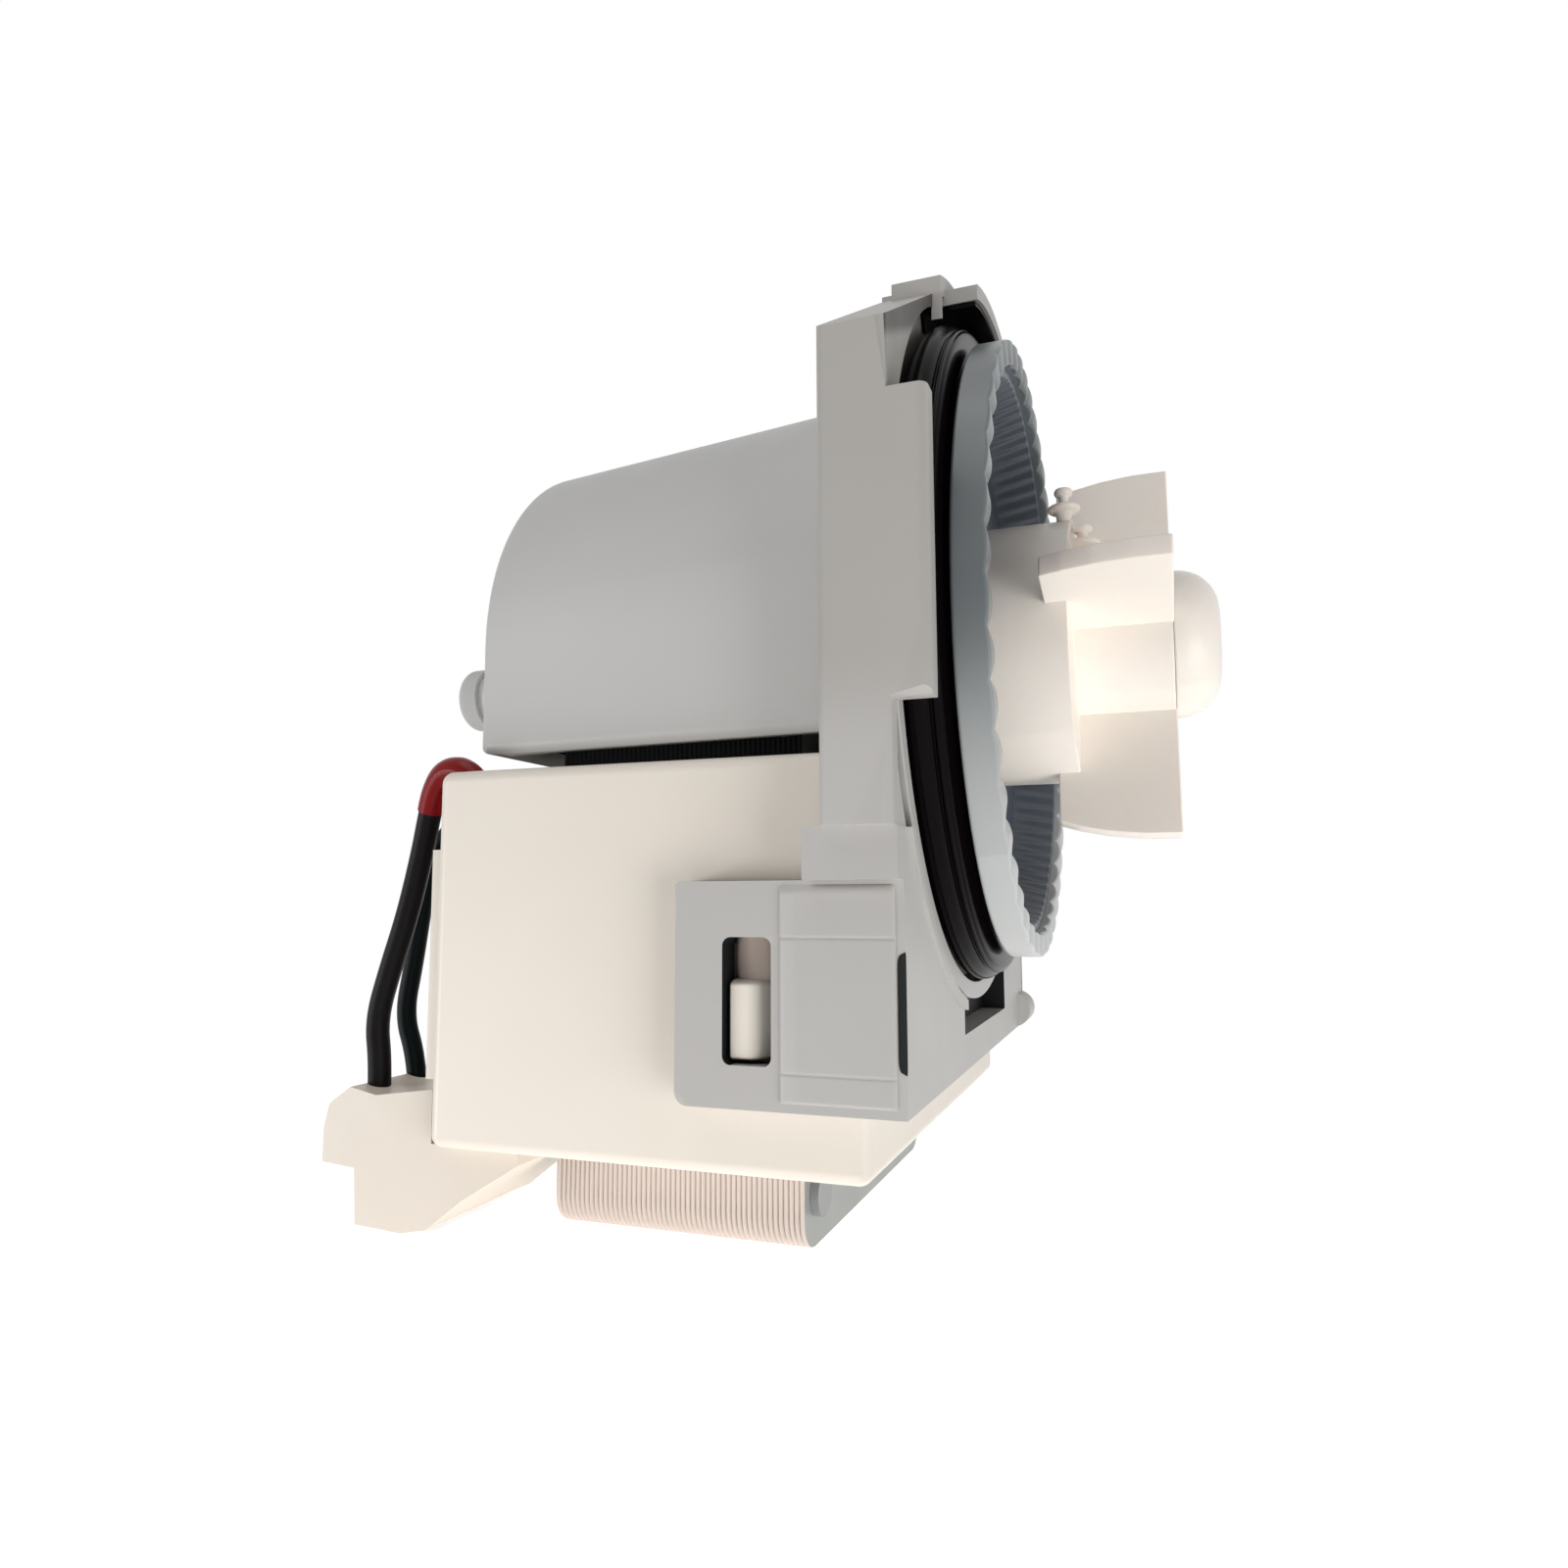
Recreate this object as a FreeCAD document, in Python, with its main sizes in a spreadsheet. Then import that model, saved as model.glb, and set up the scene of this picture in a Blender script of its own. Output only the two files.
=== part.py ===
import FreeCAD, Part
import math
import os
import re
import Sketcher

# Dishwasher drain pump, a small two pole synchronous motor with a wet rotor.
# Frame: X runs along the pump axis towards the impeller, Z is up, and the
# origin lies on the axis in the plane of the scalloped rim.

Vector = FreeCAD.Vector
doc = FreeCAD.newDocument("drain_pump")
sheet = doc.addObject("Spreadsheet::Sheet", "sizes")

# Driving sizes in millimetres, degrees and counts
SIZES = [
    ("ring_wall", 3.9),
    ("ring_rise", 1.7),
    ("ring_depth", 2.65),
    ("ring_crest", 0.4),
    ("groove_count", 46),
    ("groove_radius", 1.3),
    ("groove_depth", 0.6),
    ("chamber_depth", 5.5),
    ("plate_back", 12.2),
    ("plate_thick", 4.0),
    ("plate_crown", 0.8),
    ("flange_half_width", 36.2),
    ("flange_corner", 20.0),
    ("flange_shoulder", 14.0),
    ("flange_shoulder_height", 34.6),
    ("crown_radius", 37.0),
    ("crown_wall", 1.4),
    ("crown_back", 6.6),
    ("lip_radius", 37.3),
    ("lip_wall", 0.9),
    ("lip_front", 5.9),
    ("tray_front", 6.4),
    ("side_block_front", 2.4),
    ("side_block_top", 14.0),
    ("side_block_bottom", 10.3),
    ("side_block_thick", 2.2),
    ("hood_wall", 1.9),
    ("hood_rise", 1.3),
    ("hood_half_width", 17.3),
    ("hood_front", 5.6),
    ("hood_back", 10.4),
    ("hood_rib", 0.9),
    ("rib_room", 0.8),
    ("crown_front", 2.4),
    ("crown_half_width", 15.2),
    ("pocket_height", 5.0),
    ("base_floor", 3.4),
    ("base_front", 6.3),
    ("foot_radius", 2.1),
    ("foot_length", 5.0),
    ("foot_front", 4.7),
    ("pocket_near", 9.0),
    ("pocket_far", 17.0),
    ("pocket_depth", 2.7),
    ("slot_width", 0.8),
    ("slot_inset", 1.7),
    ("slot_rise", 1.8),
    ("slot_height", 10.6),
    ("slot_depth", 2.0),
    ("step_half_width", 35.0),
    ("step_top", 19.9),
    ("step_back", 13.9),
    ("clip_top", 24.0),
    ("clip_reach", 25.6),
    ("clip_thick", 2.6),
    ("clip_gap", 0.4),
    ("window_front", 17.2),
    ("window_back", 21.4),
    ("window_top", 28.5),
    ("window_bottom", 38.6),
    ("latch_slope", 1.6),
    ("latch_gap", 0.3),
    ("latch_root", 0.5),
    ("latch_top", 31.6),
    ("fit_gap", 0.05),
    ("part_gap", 0.3),
    ("seal_room", 2.0),
    ("seal_rise", 3.8),
    ("seal_chamfer", 0.7),
    ("seal_shoulder", 1.6),
    ("seal_bead", 1.9),
    ("seal_groove", 1.0),
    ("seal_lip", 0.6),
    ("seal_front", 2.9),
    ("seal_back", 6.0),
    ("cover_wall", 1.8),
    ("cover_room", 3.0),
    ("cover_taper", 2.9),
    ("cover_tail", 4.5),
    ("cover_gap", 1.3),
    ("cover_edge", 1.6),
    ("can_wall", 1.4),
    ("can_taper", 2.0),
    ("magnet_gap", 1.2),
    ("rotor_play", 0.6),
    ("boss_radius", 8.6),
    ("boss_taper", 1.0),
    ("boss_floor", 3.4),
    ("peg_radius", 3.3),
    ("peg_length", 11.2),
    ("button_radius", 3.9),
    ("button_crown", 1.5),
    ("button_grip", 1.4),
    ("button_edge", 1.1),
    ("coil_box_bottom", 48.1),
    ("box_side_wall", 1.6),
    ("box_front_wall", 1.8),
    ("box_rear_wall", 1.9),
    ("box_offset", 3.8),
    ("coil_floor", 0.4),
    ("coil_box_corner", 1.2),
    ("coil_step", 1.2),
    ("coil_step_rise", 6.0),
    ("coil_step_top", 20.7),
    ("core_length", 25.0),
    ("leg_width", 12.6),
    ("yoke_height", 7.9),
    ("yoke_gap", 0.4),
    ("core_corner", 3.0),
    ("core_shoulder", 3.0),
    ("core_chamfer", 4.5),
    ("core_top", 14.0),
    ("bore_gap", 0.6),
    ("rivet_radius", 1.25),
    ("rivet_head_radius", 2.0),
    ("rivet_head", 0.8),
    ("rivet_inset", 3.4),
    ("rivet_rise", 4.6),
    ("rivet_gap", 0.02),
    ("rivet_high", 1.5),
    ("bobbin_wall", 1.0),
    ("bobbin_margin", 0.1),
    ("bobbin_flange", 1.1),
    ("winding_build", 4.9),
    ("winding_corner", 4.0),
    ("cutout_length", 9.0),
    ("cutout_width", 3.6),
    ("cutout_height", 6.0),
    ("cutout_front", 16.0),
    ("cutout_top", 18.0),
    ("cutout_pocket", 0.4),
    ("cutout_gap", 1.2),
    ("socket_near", 28.0),
    ("socket_far", 11.0),
    ("socket_depth", 12.8),
    ("socket_gap", 0.4),
    ("socket_rise", 4.9),
    ("socket_drop", 8.5),
    ("ledge_drop", 3.0),
    ("roof_rise", 1.6),
    ("socket_shoulder", 3.1),
    ("socket_round", 2.0),
    ("socket_cheek", 4.3),
    ("socket_wing", 3.9),
    ("socket_throat", 9.6),
    ("socket_heel", 3.6),
    ("socket_tail", 8.6),
    ("socket_tail_thick", 1.3),
    ("socket_dip", 0.9),
    ("socket_draft", 0.3),
    ("socket_back_wall", 5.6),
    ("socket_front_wall", 0.2),
    ("socket_wall", 1.5),
    ("tab_width", 4.8),
    ("tab_thick", 0.8),
    ("tab_length", 8.2),
    ("tab_inset", 1.1),
    ("lead_radius", 0.95),
    ("sleeve_wall", 0.25),
    ("lead_entry", 1.5),
    ("lead_inset", 4.0),
    ("lead_side", 3.0),
    ("lead_pitch", 6.0),
    ("shaft_radius", 1.5),
    ("running_fit", 0.04),
    ("bearing_radius", 4.2),
    ("bearing_length", 5.0),
    ("rear_bearing_step", 3.1),
    ("cushion_wall", 2.1),
    ("magnet_radius", 12.0),
    ("magnet_bore", 5.0),
    ("magnet_length", 25.0),
    ("carrier_flange", 1.2),
    ("carrier_rise", 2.0),
    ("washer_radius", 3.8),
    ("washer_thick", 0.8),
    ("washer_play", 0.3),
    ("shield_thick", 2.0),
    ("shield_step", 2.0),
    ("shield_collar", 1.6),
    ("seal_shelf", 1.3),
    ("shaft_seal_radius", 4.9),
    ("shaft_seal_length", 2.6),
    ("cup_radius", 13.6),
    ("cup_back", 3.9),
    ("cup_front", 4.9),
    ("cup_wall", 1.6),
    ("impeller_radius", 20.1),
    ("blade_thick", 2.0),
    ("blade_back", 2.8),
    ("blade_front", 14.9),
    ("blade_taper", 1.4),
    ("blade_tip", 4.0),
    ("blade_count", 4),
    ("blade_turn", 12.5),
    ("hub_radius", 7.5),
    ("hub_wall", 1.5),
    ("hub_crown", 3.6),
    ("cap_margin", 0.2),
    ("cap_edge", 0.3),
    ("hub_floor", 0.6),
    ("cup_relief", 2.0),
    ("cup_land", 0.4),
    ("dog_length", 4.6),
    ("dog_play", 0.15),
    ("dog_tail", 0.2),
    ("plug_gap", 0.4),
    ("dog_collar", 3.1),
    ("dog_angle", 60.0),
    ("stop_angle", 60.0),
]
# Sizes that follow from those by a named clearance or wall
FOLLOWING = {
    "seal_radius": "crown_radius - crown_wall - seal_room",
    "neck_radius": "seal_radius - seal_rise",
    "ring_radius": "neck_radius + ring_rise",
    "flange_radius": "crown_radius + plate_crown",
    "hood_radius": "crown_radius + hood_rise",
    "hood_rib_radius": "seal_radius + rib_room",
    "pocket_bottom": "seal_radius + pocket_height",
    "base_bottom": "pocket_bottom + base_floor",
    "slot_bottom": "base_bottom - slot_rise",
    "slot_top": "slot_bottom - slot_height",
    "coil_reach": "4 * fit_gap + bobbin_wall + winding_build + part_gap",
    "core_half_width": "leg_width + coil_reach + cutout_width / 2 + cutout_gap",
    "coil_box_half_width": "core_half_width + coil_reach + box_side_wall",
    "coil_box_front": "base_front + box_offset",
    "core_front": "coil_box_front + box_front_wall + coil_reach",
    "coil_box_back": "core_front + core_length + coil_reach + box_rear_wall",
    "base_half_width": "coil_box_half_width + clip_gap + clip_thick",
    "slot_place": "base_half_width - slot_inset",
    "can_radius": "magnet_radius + magnet_gap + can_wall",
    "can_end": "core_front + core_length / 2 + magnet_length / 2 + carrier_flange + rotor_play + can_wall",
    "coil_box_top": "can_radius + part_gap - coil_box_corner - coil_floor",
    "core_bottom": "coil_box_bottom + yoke_gap + yoke_height",
    "rivet_low": "core_bottom - rivet_rise",
    "rivet_side": "core_half_width - rivet_inset",
    "cover_radius_rear": "core_half_width + cover_room",
    "cover_radius_front": "cover_radius_rear + cover_taper",
    "cover_rear": "can_end + cover_tail",
    "cover_bottom": "coil_box_top - cover_gap",
    "rear_bearing_front": "can_end + rear_bearing_step",
    "boss_end": "rear_bearing_front + bearing_length + boss_floor",
    "shaft_rear": "boss_end - can_wall - rotor_play",
    "peg_end": "boss_end + peg_length",
    "button_back": "peg_end + button_crown",
    "button_front": "peg_end - button_grip",
    "front_bearing_front": "chamber_depth + shaft_seal_length + seal_shelf",
    "shaft_front": "cup_front + hub_floor + dog_length + dog_tail",
    "hub_tip": "blade_front + hub_crown",
    "cap_radius": "hub_radius - cap_margin",
    "hub_rounding": "hub_crown - cap_edge",
    "socket_front": "coil_box_back + coil_step + socket_gap",
    "socket_back": "socket_front + socket_depth",
    "socket_top": "coil_box_bottom - socket_rise",
    "socket_bottom": "coil_box_bottom + socket_drop",
    "socket_ledge": "coil_box_bottom + ledge_drop",
    "socket_roof": "coil_box_bottom - roof_rise",
}
NAMES = {name for name, _ in SIZES}
for row, (name, number) in enumerate(SIZES, start=1):
    sheet.set("A%d" % row, name)
    sheet.set("B%d" % row, str(number))
    sheet.setAlias("B%d" % row, name)
doc.recompute()


def size(name):
    """Number that a cell of the sheet holds."""
    return float(sheet.get(name))


def formula(text):
    """Expression text with each size's name turned into its cell, or into what it follows from."""
    def cell(match):
        word = match.group(0)
        if word in FOLLOWING:
            return "(%s)" % formula(FOLLOWING[word])
        return "sizes." + word if word in NAMES else word
    return re.sub(r"[a-z][a-z_]*", cell, str(text))


def bind(item, prop, text):
    """Tie one property to an expression of the sheet."""
    item.setExpression(prop, formula(text))


# Solid primitives between planes that are given as expressions


def block(name, x_range, y_range, z_range):
    """Box between two X, two Y and two Z values."""
    item = doc.addObject("Part::Box", name)
    for prop, axis, (low, high) in (("Length", "x", x_range), ("Width", "y", y_range), ("Height", "z", z_range)):
        bind(item, prop, "(%s) - (%s)" % (high, low))
        bind(item, "Placement.Base." + axis, low)
    return item


def rod(name, low, high, radius, y="0", z="0"):
    """Cylinder along X from low to high."""
    item = doc.addObject("Part::Cylinder", name)
    item.Placement = FreeCAD.Placement(Vector(), FreeCAD.Rotation(Vector(0, 1, 0), 90))
    bind(item, "Radius", radius)
    bind(item, "Height", "(%s) - (%s)" % (high, low))
    bind(item, "Placement.Base.x", low)
    bind(item, "Placement.Base.y", y)
    bind(item, "Placement.Base.z", z)
    return item


def fuse(name, items):
    item = doc.addObject("Part::MultiFuse", name)
    item.Shapes = items
    item.Refine = True
    return item


def cut(name, base, tools):
    item = doc.addObject("Part::Cut", name)
    item.Base = base
    item.Tool = tools[0] if len(tools) == 1 else fuse(name + "_tools", tools)
    item.Refine = True
    return item


def common(name, items):
    item = doc.addObject("Part::MultiCommon", name)
    item.Shapes = items
    item.Refine = True
    return item


# Bodies made of sketches


def new_body(name):
    return doc.addObject("PartDesign::Body", name)


def origin_part(body, role):
    for feature in body.Origin.OriginFeatures:
        if feature.Role == role:
            return feature


def new_sketch(body, name, role, offset="0"):
    """Sketch on an origin plane of its body, moved along the plane's normal."""
    sketch = body.newObject("Sketcher::SketchObject", name)
    sketch.AttachmentSupport = [(origin_part(body, role), "")]
    sketch.MapMode = "FlatFace"
    bind(sketch, "AttachmentOffset.Base.z", offset)
    return sketch


def pin_point(sketch, geometry, point, across, up):
    """Hold one sketch point at two expressions, measured from the origin."""
    for kind, text in (("DistanceX", across), ("DistanceY", up)):
        index = sketch.addConstraint(Sketcher.Constraint(kind, -1, 1, geometry, point, 1.0))
        bind(sketch, "Constraints[%d]" % index, text)


def polygon(sketch, corners):
    """Closed outline of straight sides through corners given as expressions."""
    count = len(corners)
    start = [Vector(10 * math.cos(2 * math.pi * k / count), 10 * math.sin(2 * math.pi * k / count), 0)
             for k in range(count)]
    lines = [sketch.addGeometry(Part.LineSegment(start[k], start[(k + 1) % count]), False)
             for k in range(count)]
    for k in range(count):
        sketch.addConstraint(Sketcher.Constraint("Coincident", lines[k], 2, lines[(k + 1) % count], 1))
    for k, (across, up) in enumerate(corners):
        pin_point(sketch, lines[k], 1, across, up)


def disc(sketch, radius, across="0", up="0"):
    """Circle in a sketch."""
    circle = sketch.addGeometry(Part.Circle(Vector(0.1, 0.1, 0), Vector(0, 0, 1), 5.0), False)
    index = sketch.addConstraint(Sketcher.Constraint("Radius", circle, 5.0))
    bind(sketch, "Constraints[%d]" % index, radius)
    pin_point(sketch, circle, 3, across, up)


def arch(sketch, radius, bottom):
    """Half round over straight sides, down to a flat bottom."""
    arc = sketch.addGeometry(Part.ArcOfCircle(Part.Circle(Vector(0, 0, 0), Vector(0, 0, 1), 20), 0, math.pi), False)
    left = sketch.addGeometry(Part.LineSegment(Vector(-20, 0, 0), Vector(-20, -10, 0)), False)
    base = sketch.addGeometry(Part.LineSegment(Vector(-20, -10, 0), Vector(20, -10, 0)), False)
    right = sketch.addGeometry(Part.LineSegment(Vector(20, -10, 0), Vector(20, 0, 0)), False)
    for first, second in ((arc, left), (left, base), (base, right)):
        sketch.addConstraint(Sketcher.Constraint("Coincident", first, 2, second, 1))
    sketch.addConstraint(Sketcher.Constraint("Coincident", right, 2, arc, 1))
    sketch.addConstraint(Sketcher.Constraint("Coincident", arc, 3, -1, 1))
    sketch.addConstraint(Sketcher.Constraint("PointOnObject", arc, 1, -1))
    sketch.addConstraint(Sketcher.Constraint("PointOnObject", arc, 2, -1))
    sketch.addConstraint(Sketcher.Constraint("Vertical", left))
    sketch.addConstraint(Sketcher.Constraint("Vertical", right))
    sketch.addConstraint(Sketcher.Constraint("Horizontal", base))
    index = sketch.addConstraint(Sketcher.Constraint("DistanceY", -1, 1, base, 1, -10))
    bind(sketch, "Constraints[%d]" % index, bottom)
    index = sketch.addConstraint(Sketcher.Constraint("Radius", arc, 20))
    bind(sketch, "Constraints[%d]" % index, radius)


def pad(body, name, sketch, length):
    feature = body.newObject("PartDesign::Pad", name)
    feature.Profile = sketch
    bind(feature, "Length", length)
    return feature


def pocket(body, name, sketch, length, forward=False):
    """Cut against the sketch's normal, or along it where forward is set."""
    feature = body.newObject("PartDesign::Pocket", name)
    feature.Profile = sketch
    feature.Reversed = forward
    bind(feature, "Length", length)
    return feature


def turned(body, name, corners):
    """Solid of revolution about the pump axis from an outline of X and radius."""
    sketch = new_sketch(body, name + "_outline", "XZ_Plane")
    polygon(sketch, corners)
    feature = body.newObject("PartDesign::Revolution", name)
    feature.Profile = sketch
    feature.ReferenceAxis = (sketch, ["H_Axis"])
    feature.Angle = 360
    return feature


def polar(body, name, feature, count):
    """Copies of a feature evenly about the pump axis."""
    pattern = body.newObject("PartDesign::PolarPattern", name)
    pattern.Originals = [feature]
    pattern.Axis = (origin_part(body, "X_Axis"), [""])
    pattern.Angle = 360
    bind(pattern, "Occurrences", count)
    body.Tip = pattern
    return pattern


def rounded(body, name, base, radius, chosen):
    """Fillet on the edges of a feature that pass a test, which is given each edge and the whole's box."""
    doc.recompute()
    whole = base.Shape.BoundBox
    edges = ["Edge%d" % (k + 1) for k, edge in enumerate(base.Shape.Edges) if chosen(edge, whole)]
    feature = body.newObject("PartDesign::Fillet", name)
    feature.Base = (base, edges)
    bind(feature, "Radius", radius)
    return feature


def ring_piece(name, low, high, inner, outer):
    """Plain round sleeve along the pump axis."""
    body = new_body(name)
    turned(body, name + "_turned", [(low, inner), (low, outer), (high, outer), (high, inner)])
    return body


PARTS = {}


# Pump housing: flange tray, scalloped rim, base box and side clips
rim_body = new_body("rim_body")
turned(rim_body, "rim_turned", [
    ("-plate_back", "can_radius + part_gap"),
    ("-plate_back", "neck_radius"),
    ("-ring_depth", "neck_radius"),
    ("-ring_depth", "ring_radius"),
    ("ring_crest", "ring_radius"),
    ("ring_crest", "ring_radius - ring_wall"),
    ("-chamber_depth - shield_thick - fit_gap", "ring_radius - ring_wall"),
    ("-chamber_depth - shield_thick - fit_gap", "can_radius + part_gap"),
])
groove_sketch = new_sketch(rim_body, "groove_outline", "XY_Plane", "ring_radius - ring_wall - 1")
disc(groove_sketch, "groove_radius", "ring_crest + groove_radius - groove_depth", "0")
groove = pocket(rim_body, "groove", groove_sketch, "ring_wall + 3", True)
polar(rim_body, "groove_ring", groove, "groove_count")

flange = new_body("flange")
flange_sketch = new_sketch(flange, "flange_outline", "YZ_Plane", "-plate_back")
polygon(flange_sketch, [
    ("-flange_half_width", "-step_top"),
    ("flange_half_width", "-step_top"),
    ("flange_half_width", "flange_corner"),
    ("flange_shoulder", "flange_shoulder_height"),
    ("-flange_shoulder", "flange_shoulder_height"),
    ("-flange_half_width", "flange_corner"),
])
pad(flange, "flange_pad", flange_sketch, "plate_back - tray_front")
tray_solid = fuse("tray_solid", [
    flange,
    common("tray_crown", [
        rod("tray_round", "-plate_back", "-tray_front", "flange_radius"),
        block("tray_crown_span", ("-plate_back", "-tray_front"), ("-flange_shoulder", "flange_shoulder"),
              ("0", "flange_radius")),
    ]),
    block("base_outline", ("-plate_back", "-base_front"), ("-base_half_width", "base_half_width"),
          ("-base_bottom", "-step_top")),
])
hollow_span = ("-plate_back + plate_thick", "0")
inner_half_width = "(flange_half_width - side_block_thick)"
tray_hollow = common("tray_hollow", [
    rod("tray_hollow_round", *hollow_span, "crown_radius - crown_wall"),
    block("tray_hollow_span", hollow_span, ("-" + inner_half_width, inner_half_width),
          ("-side_block_bottom", "crown_radius")),
])
lip_hollow = common("lip_hollow", [
    rod("lip_hollow_round", *hollow_span, "lip_radius"),
    block("lip_hollow_span", hollow_span, ("-" + inner_half_width, inner_half_width),
          ("-lip_radius", "-side_block_bottom")),
])
lower_pocket = block("lower_pocket", ("-base_front - pocket_depth", "0"), ("-pocket_near", "pocket_far"),
                     ("-pocket_bottom", "-seal_radius"))
slots = [block("clip_slot_" + side, ("-base_front - slot_depth", "0"),
               ("%s - slot_width / 2" % middle, "%s + slot_width / 2" % middle),
               ("-slot_bottom", "-slot_top"))
         for side, middle in (("near", "-slot_place"), ("far", "slot_place"))]
hood_hollow = common("hood_hollow", [
    rod("hood_hollow_round", *hollow_span, "hood_radius - hood_wall"),
    block("hood_hollow_span", hollow_span, ("-hood_half_width", "hood_half_width"), ("0", "hood_radius")),
])
tray = cut("tray", tray_solid, [
    tray_hollow, hood_hollow, lip_hollow, lower_pocket,
    rod("tray_bore", "-plate_back - 1", "0", "neck_radius - 1"), *slots])
lip = cut("lip", common("lip_outline", [
    rod("lip_round", *("-plate_back + plate_thick", "-lip_front"), "lip_radius"),
    block("lip_span", ("-plate_back", "-lip_front"), ("-base_half_width", "base_half_width"),
          ("-lip_radius", "-step_top")),
]), [
    rod("lip_inside", "-plate_back", "0", "lip_radius - lip_wall"),
    block("lip_gap", ("-plate_back", "0"), ("-pocket_near", "pocket_far"), ("-lip_radius", "0")),
])
crown_span = ("-crown_back", "-crown_front")
crown = cut("crown", common("crown_outline", [
    rod("crown_round", *crown_span, "crown_radius"),
    block("crown_block", crown_span, ("-crown_half_width", "crown_half_width"), ("0", "crown_radius")),
]), [rod("crown_hollow", "-plate_back", "0", "crown_radius - crown_wall")])
hood_span = ("-hood_back", "-hood_front")
hood = cut("hood", common("hood_outline", [
    rod("hood_round", *hood_span, "hood_radius"),
    block("hood_block", hood_span, ("-hood_half_width", "hood_half_width"), ("0", "hood_radius")),
]), [rod("hood_inside", "-plate_back", "0", "hood_radius - hood_wall")])
ribs = [cut("hood_rib_" + side, common("hood_rib_outline_" + side, [
    rod("hood_rib_round_" + side, "-hood_front - hood_rib", "-hood_front", "hood_radius - hood_wall / 2"),
    block("hood_rib_block_" + side, ("-hood_front - hood_rib", "-hood_front"), span, ("0", "hood_radius")),
]), [rod("hood_rib_inside_" + side, "-plate_back", "0", "hood_rib_radius")])
    for side, span in (("near", ("-hood_half_width", "-hood_half_width + hood_rib")),
                       ("far", ("hood_half_width - hood_rib", "hood_half_width")))]
foot = doc.addObject("Part::Cylinder", "corner_foot")
foot.Placement = FreeCAD.Placement(Vector(), FreeCAD.Rotation(Vector(1, 0, 0), -90))
bind(foot, "Radius", "foot_radius")
bind(foot, "Height", "foot_length")
bind(foot, "Placement.Base.x", "-foot_front - foot_radius")
bind(foot, "Placement.Base.y", "base_half_width - foot_length")
bind(foot, "Placement.Base.z", "-base_bottom + foot_radius")
housing_pieces = [rim_body, tray, lip, crown, hood, foot, *ribs]
for side, sign in (("near", "-1"), ("far", "1")):
    def across(inner, outer):
        """Y range of a wall on this side, low value first."""
        pair = ("%s * (%s)" % (sign, inner), "%s * (%s)" % (sign, outer))
        return pair if sign == "1" else (pair[1], pair[0])
    housing_pieces.append(block(
        "side_block_" + side, ("-plate_back + 1", "-side_block_front"),
        across("flange_half_width - side_block_thick", "flange_half_width"),
        ("-side_block_bottom", "side_block_top")))
    housing_pieces.append(block(
        "side_step_" + side, ("-step_back", "-base_front"),
        across("base_half_width - clip_thick", "step_half_width"), ("-clip_top", "-step_top")))
    clip = cut("clip_" + side, block(
        "clip_plate_" + side, ("-clip_reach", "-base_front"),
        across("base_half_width - clip_thick", "base_half_width"), ("-base_bottom", "-clip_top")), [block(
            "clip_window_" + side, ("-window_back", "-window_front"),
            across("base_half_width - clip_thick - 1", "base_half_width + 1"),
            ("-window_bottom", "-window_top"))])
    housing_pieces.append(clip)
box_recess = block(
    "box_recess", ("-plate_back - 1", "-coil_box_front + part_gap"),
    ("-coil_box_half_width - part_gap", "coil_box_half_width + part_gap"),
    ("-coil_box_bottom", "-coil_box_top + part_gap"))
seal_space = cut("seal_space", rod("seal_space_round", "-seal_back", "-ring_depth", "seal_radius + part_gap"),
                 [rod("seal_space_neck", "-plate_back", "0", "neck_radius")])
PARTS["pump_housing"] = cut("pump_housing", fuse("housing_solid", housing_pieces), [box_recess, seal_space])

# Front shield: dark dish that closes the chamber and holds the front bearing
shield = new_body("front_shield")
turned(shield, "shield_turned", [
    ("-chamber_depth", "shaft_seal_radius + fit_gap"),
    ("-chamber_depth", "ring_radius - ring_wall - fit_gap"),
    ("-chamber_depth - shield_thick", "ring_radius - ring_wall - fit_gap"),
    ("-chamber_depth - shield_thick", "can_radius - can_wall - part_gap"),
    ("-front_bearing_front - shield_step", "can_radius - can_wall - part_gap"),
    ("-front_bearing_front - shield_step", "bearing_radius + cushion_wall + shield_collar"),
    ("-front_bearing_front - bearing_length", "bearing_radius + cushion_wall + shield_collar"),
    ("-front_bearing_front - bearing_length", "bearing_radius + cushion_wall + fit_gap"),
    ("-front_bearing_front + part_gap", "bearing_radius + cushion_wall + fit_gap"),
    ("-front_bearing_front + part_gap", "shaft_seal_radius + fit_gap"),
])
PARTS["front_shield"] = shield

# Rotor can with its rear bearing seat and peg
can = new_body("rotor_can")
turned(can, "can_turned", [
    ("-chamber_depth - shield_thick - 2 * fit_gap", "can_radius - can_wall"),
    ("-chamber_depth - shield_thick - 2 * fit_gap", "can_radius"),
    ("-can_end", "can_radius"),
    ("-can_end - can_taper", "boss_radius"),
    ("-boss_end", "boss_radius"),
    ("-boss_end - boss_taper", "peg_radius"),
    ("-peg_end", "peg_radius"),
    ("-peg_end", "0"),
    ("-boss_end + can_wall", "0"),
    ("-boss_end + can_wall", "bearing_radius + cushion_wall + fit_gap"),
    ("-can_end", "bearing_radius + cushion_wall + fit_gap"),
    ("-can_end + can_wall", "can_radius - can_wall"),
])
PARTS["rotor_can"] = can

button = new_body("rear_button")
button_turned = turned(button, "button_turned", [
    ("-button_back", "0"),
    ("-button_back", "button_radius"),
    ("-button_front", "button_radius"),
    ("-button_front", "peg_radius + fit_gap"),
    ("-peg_end - fit_gap", "peg_radius + fit_gap"),
    ("-peg_end - fit_gap", "0"),
])
rounded(button, "button_rounding", button_turned, "button_edge",
        lambda edge, whole: edge.BoundBox.XMax < whole.XMin + 0.01 and edge.Length > 3 * whole.ZLength)
PARTS["rear_button"] = button

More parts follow.
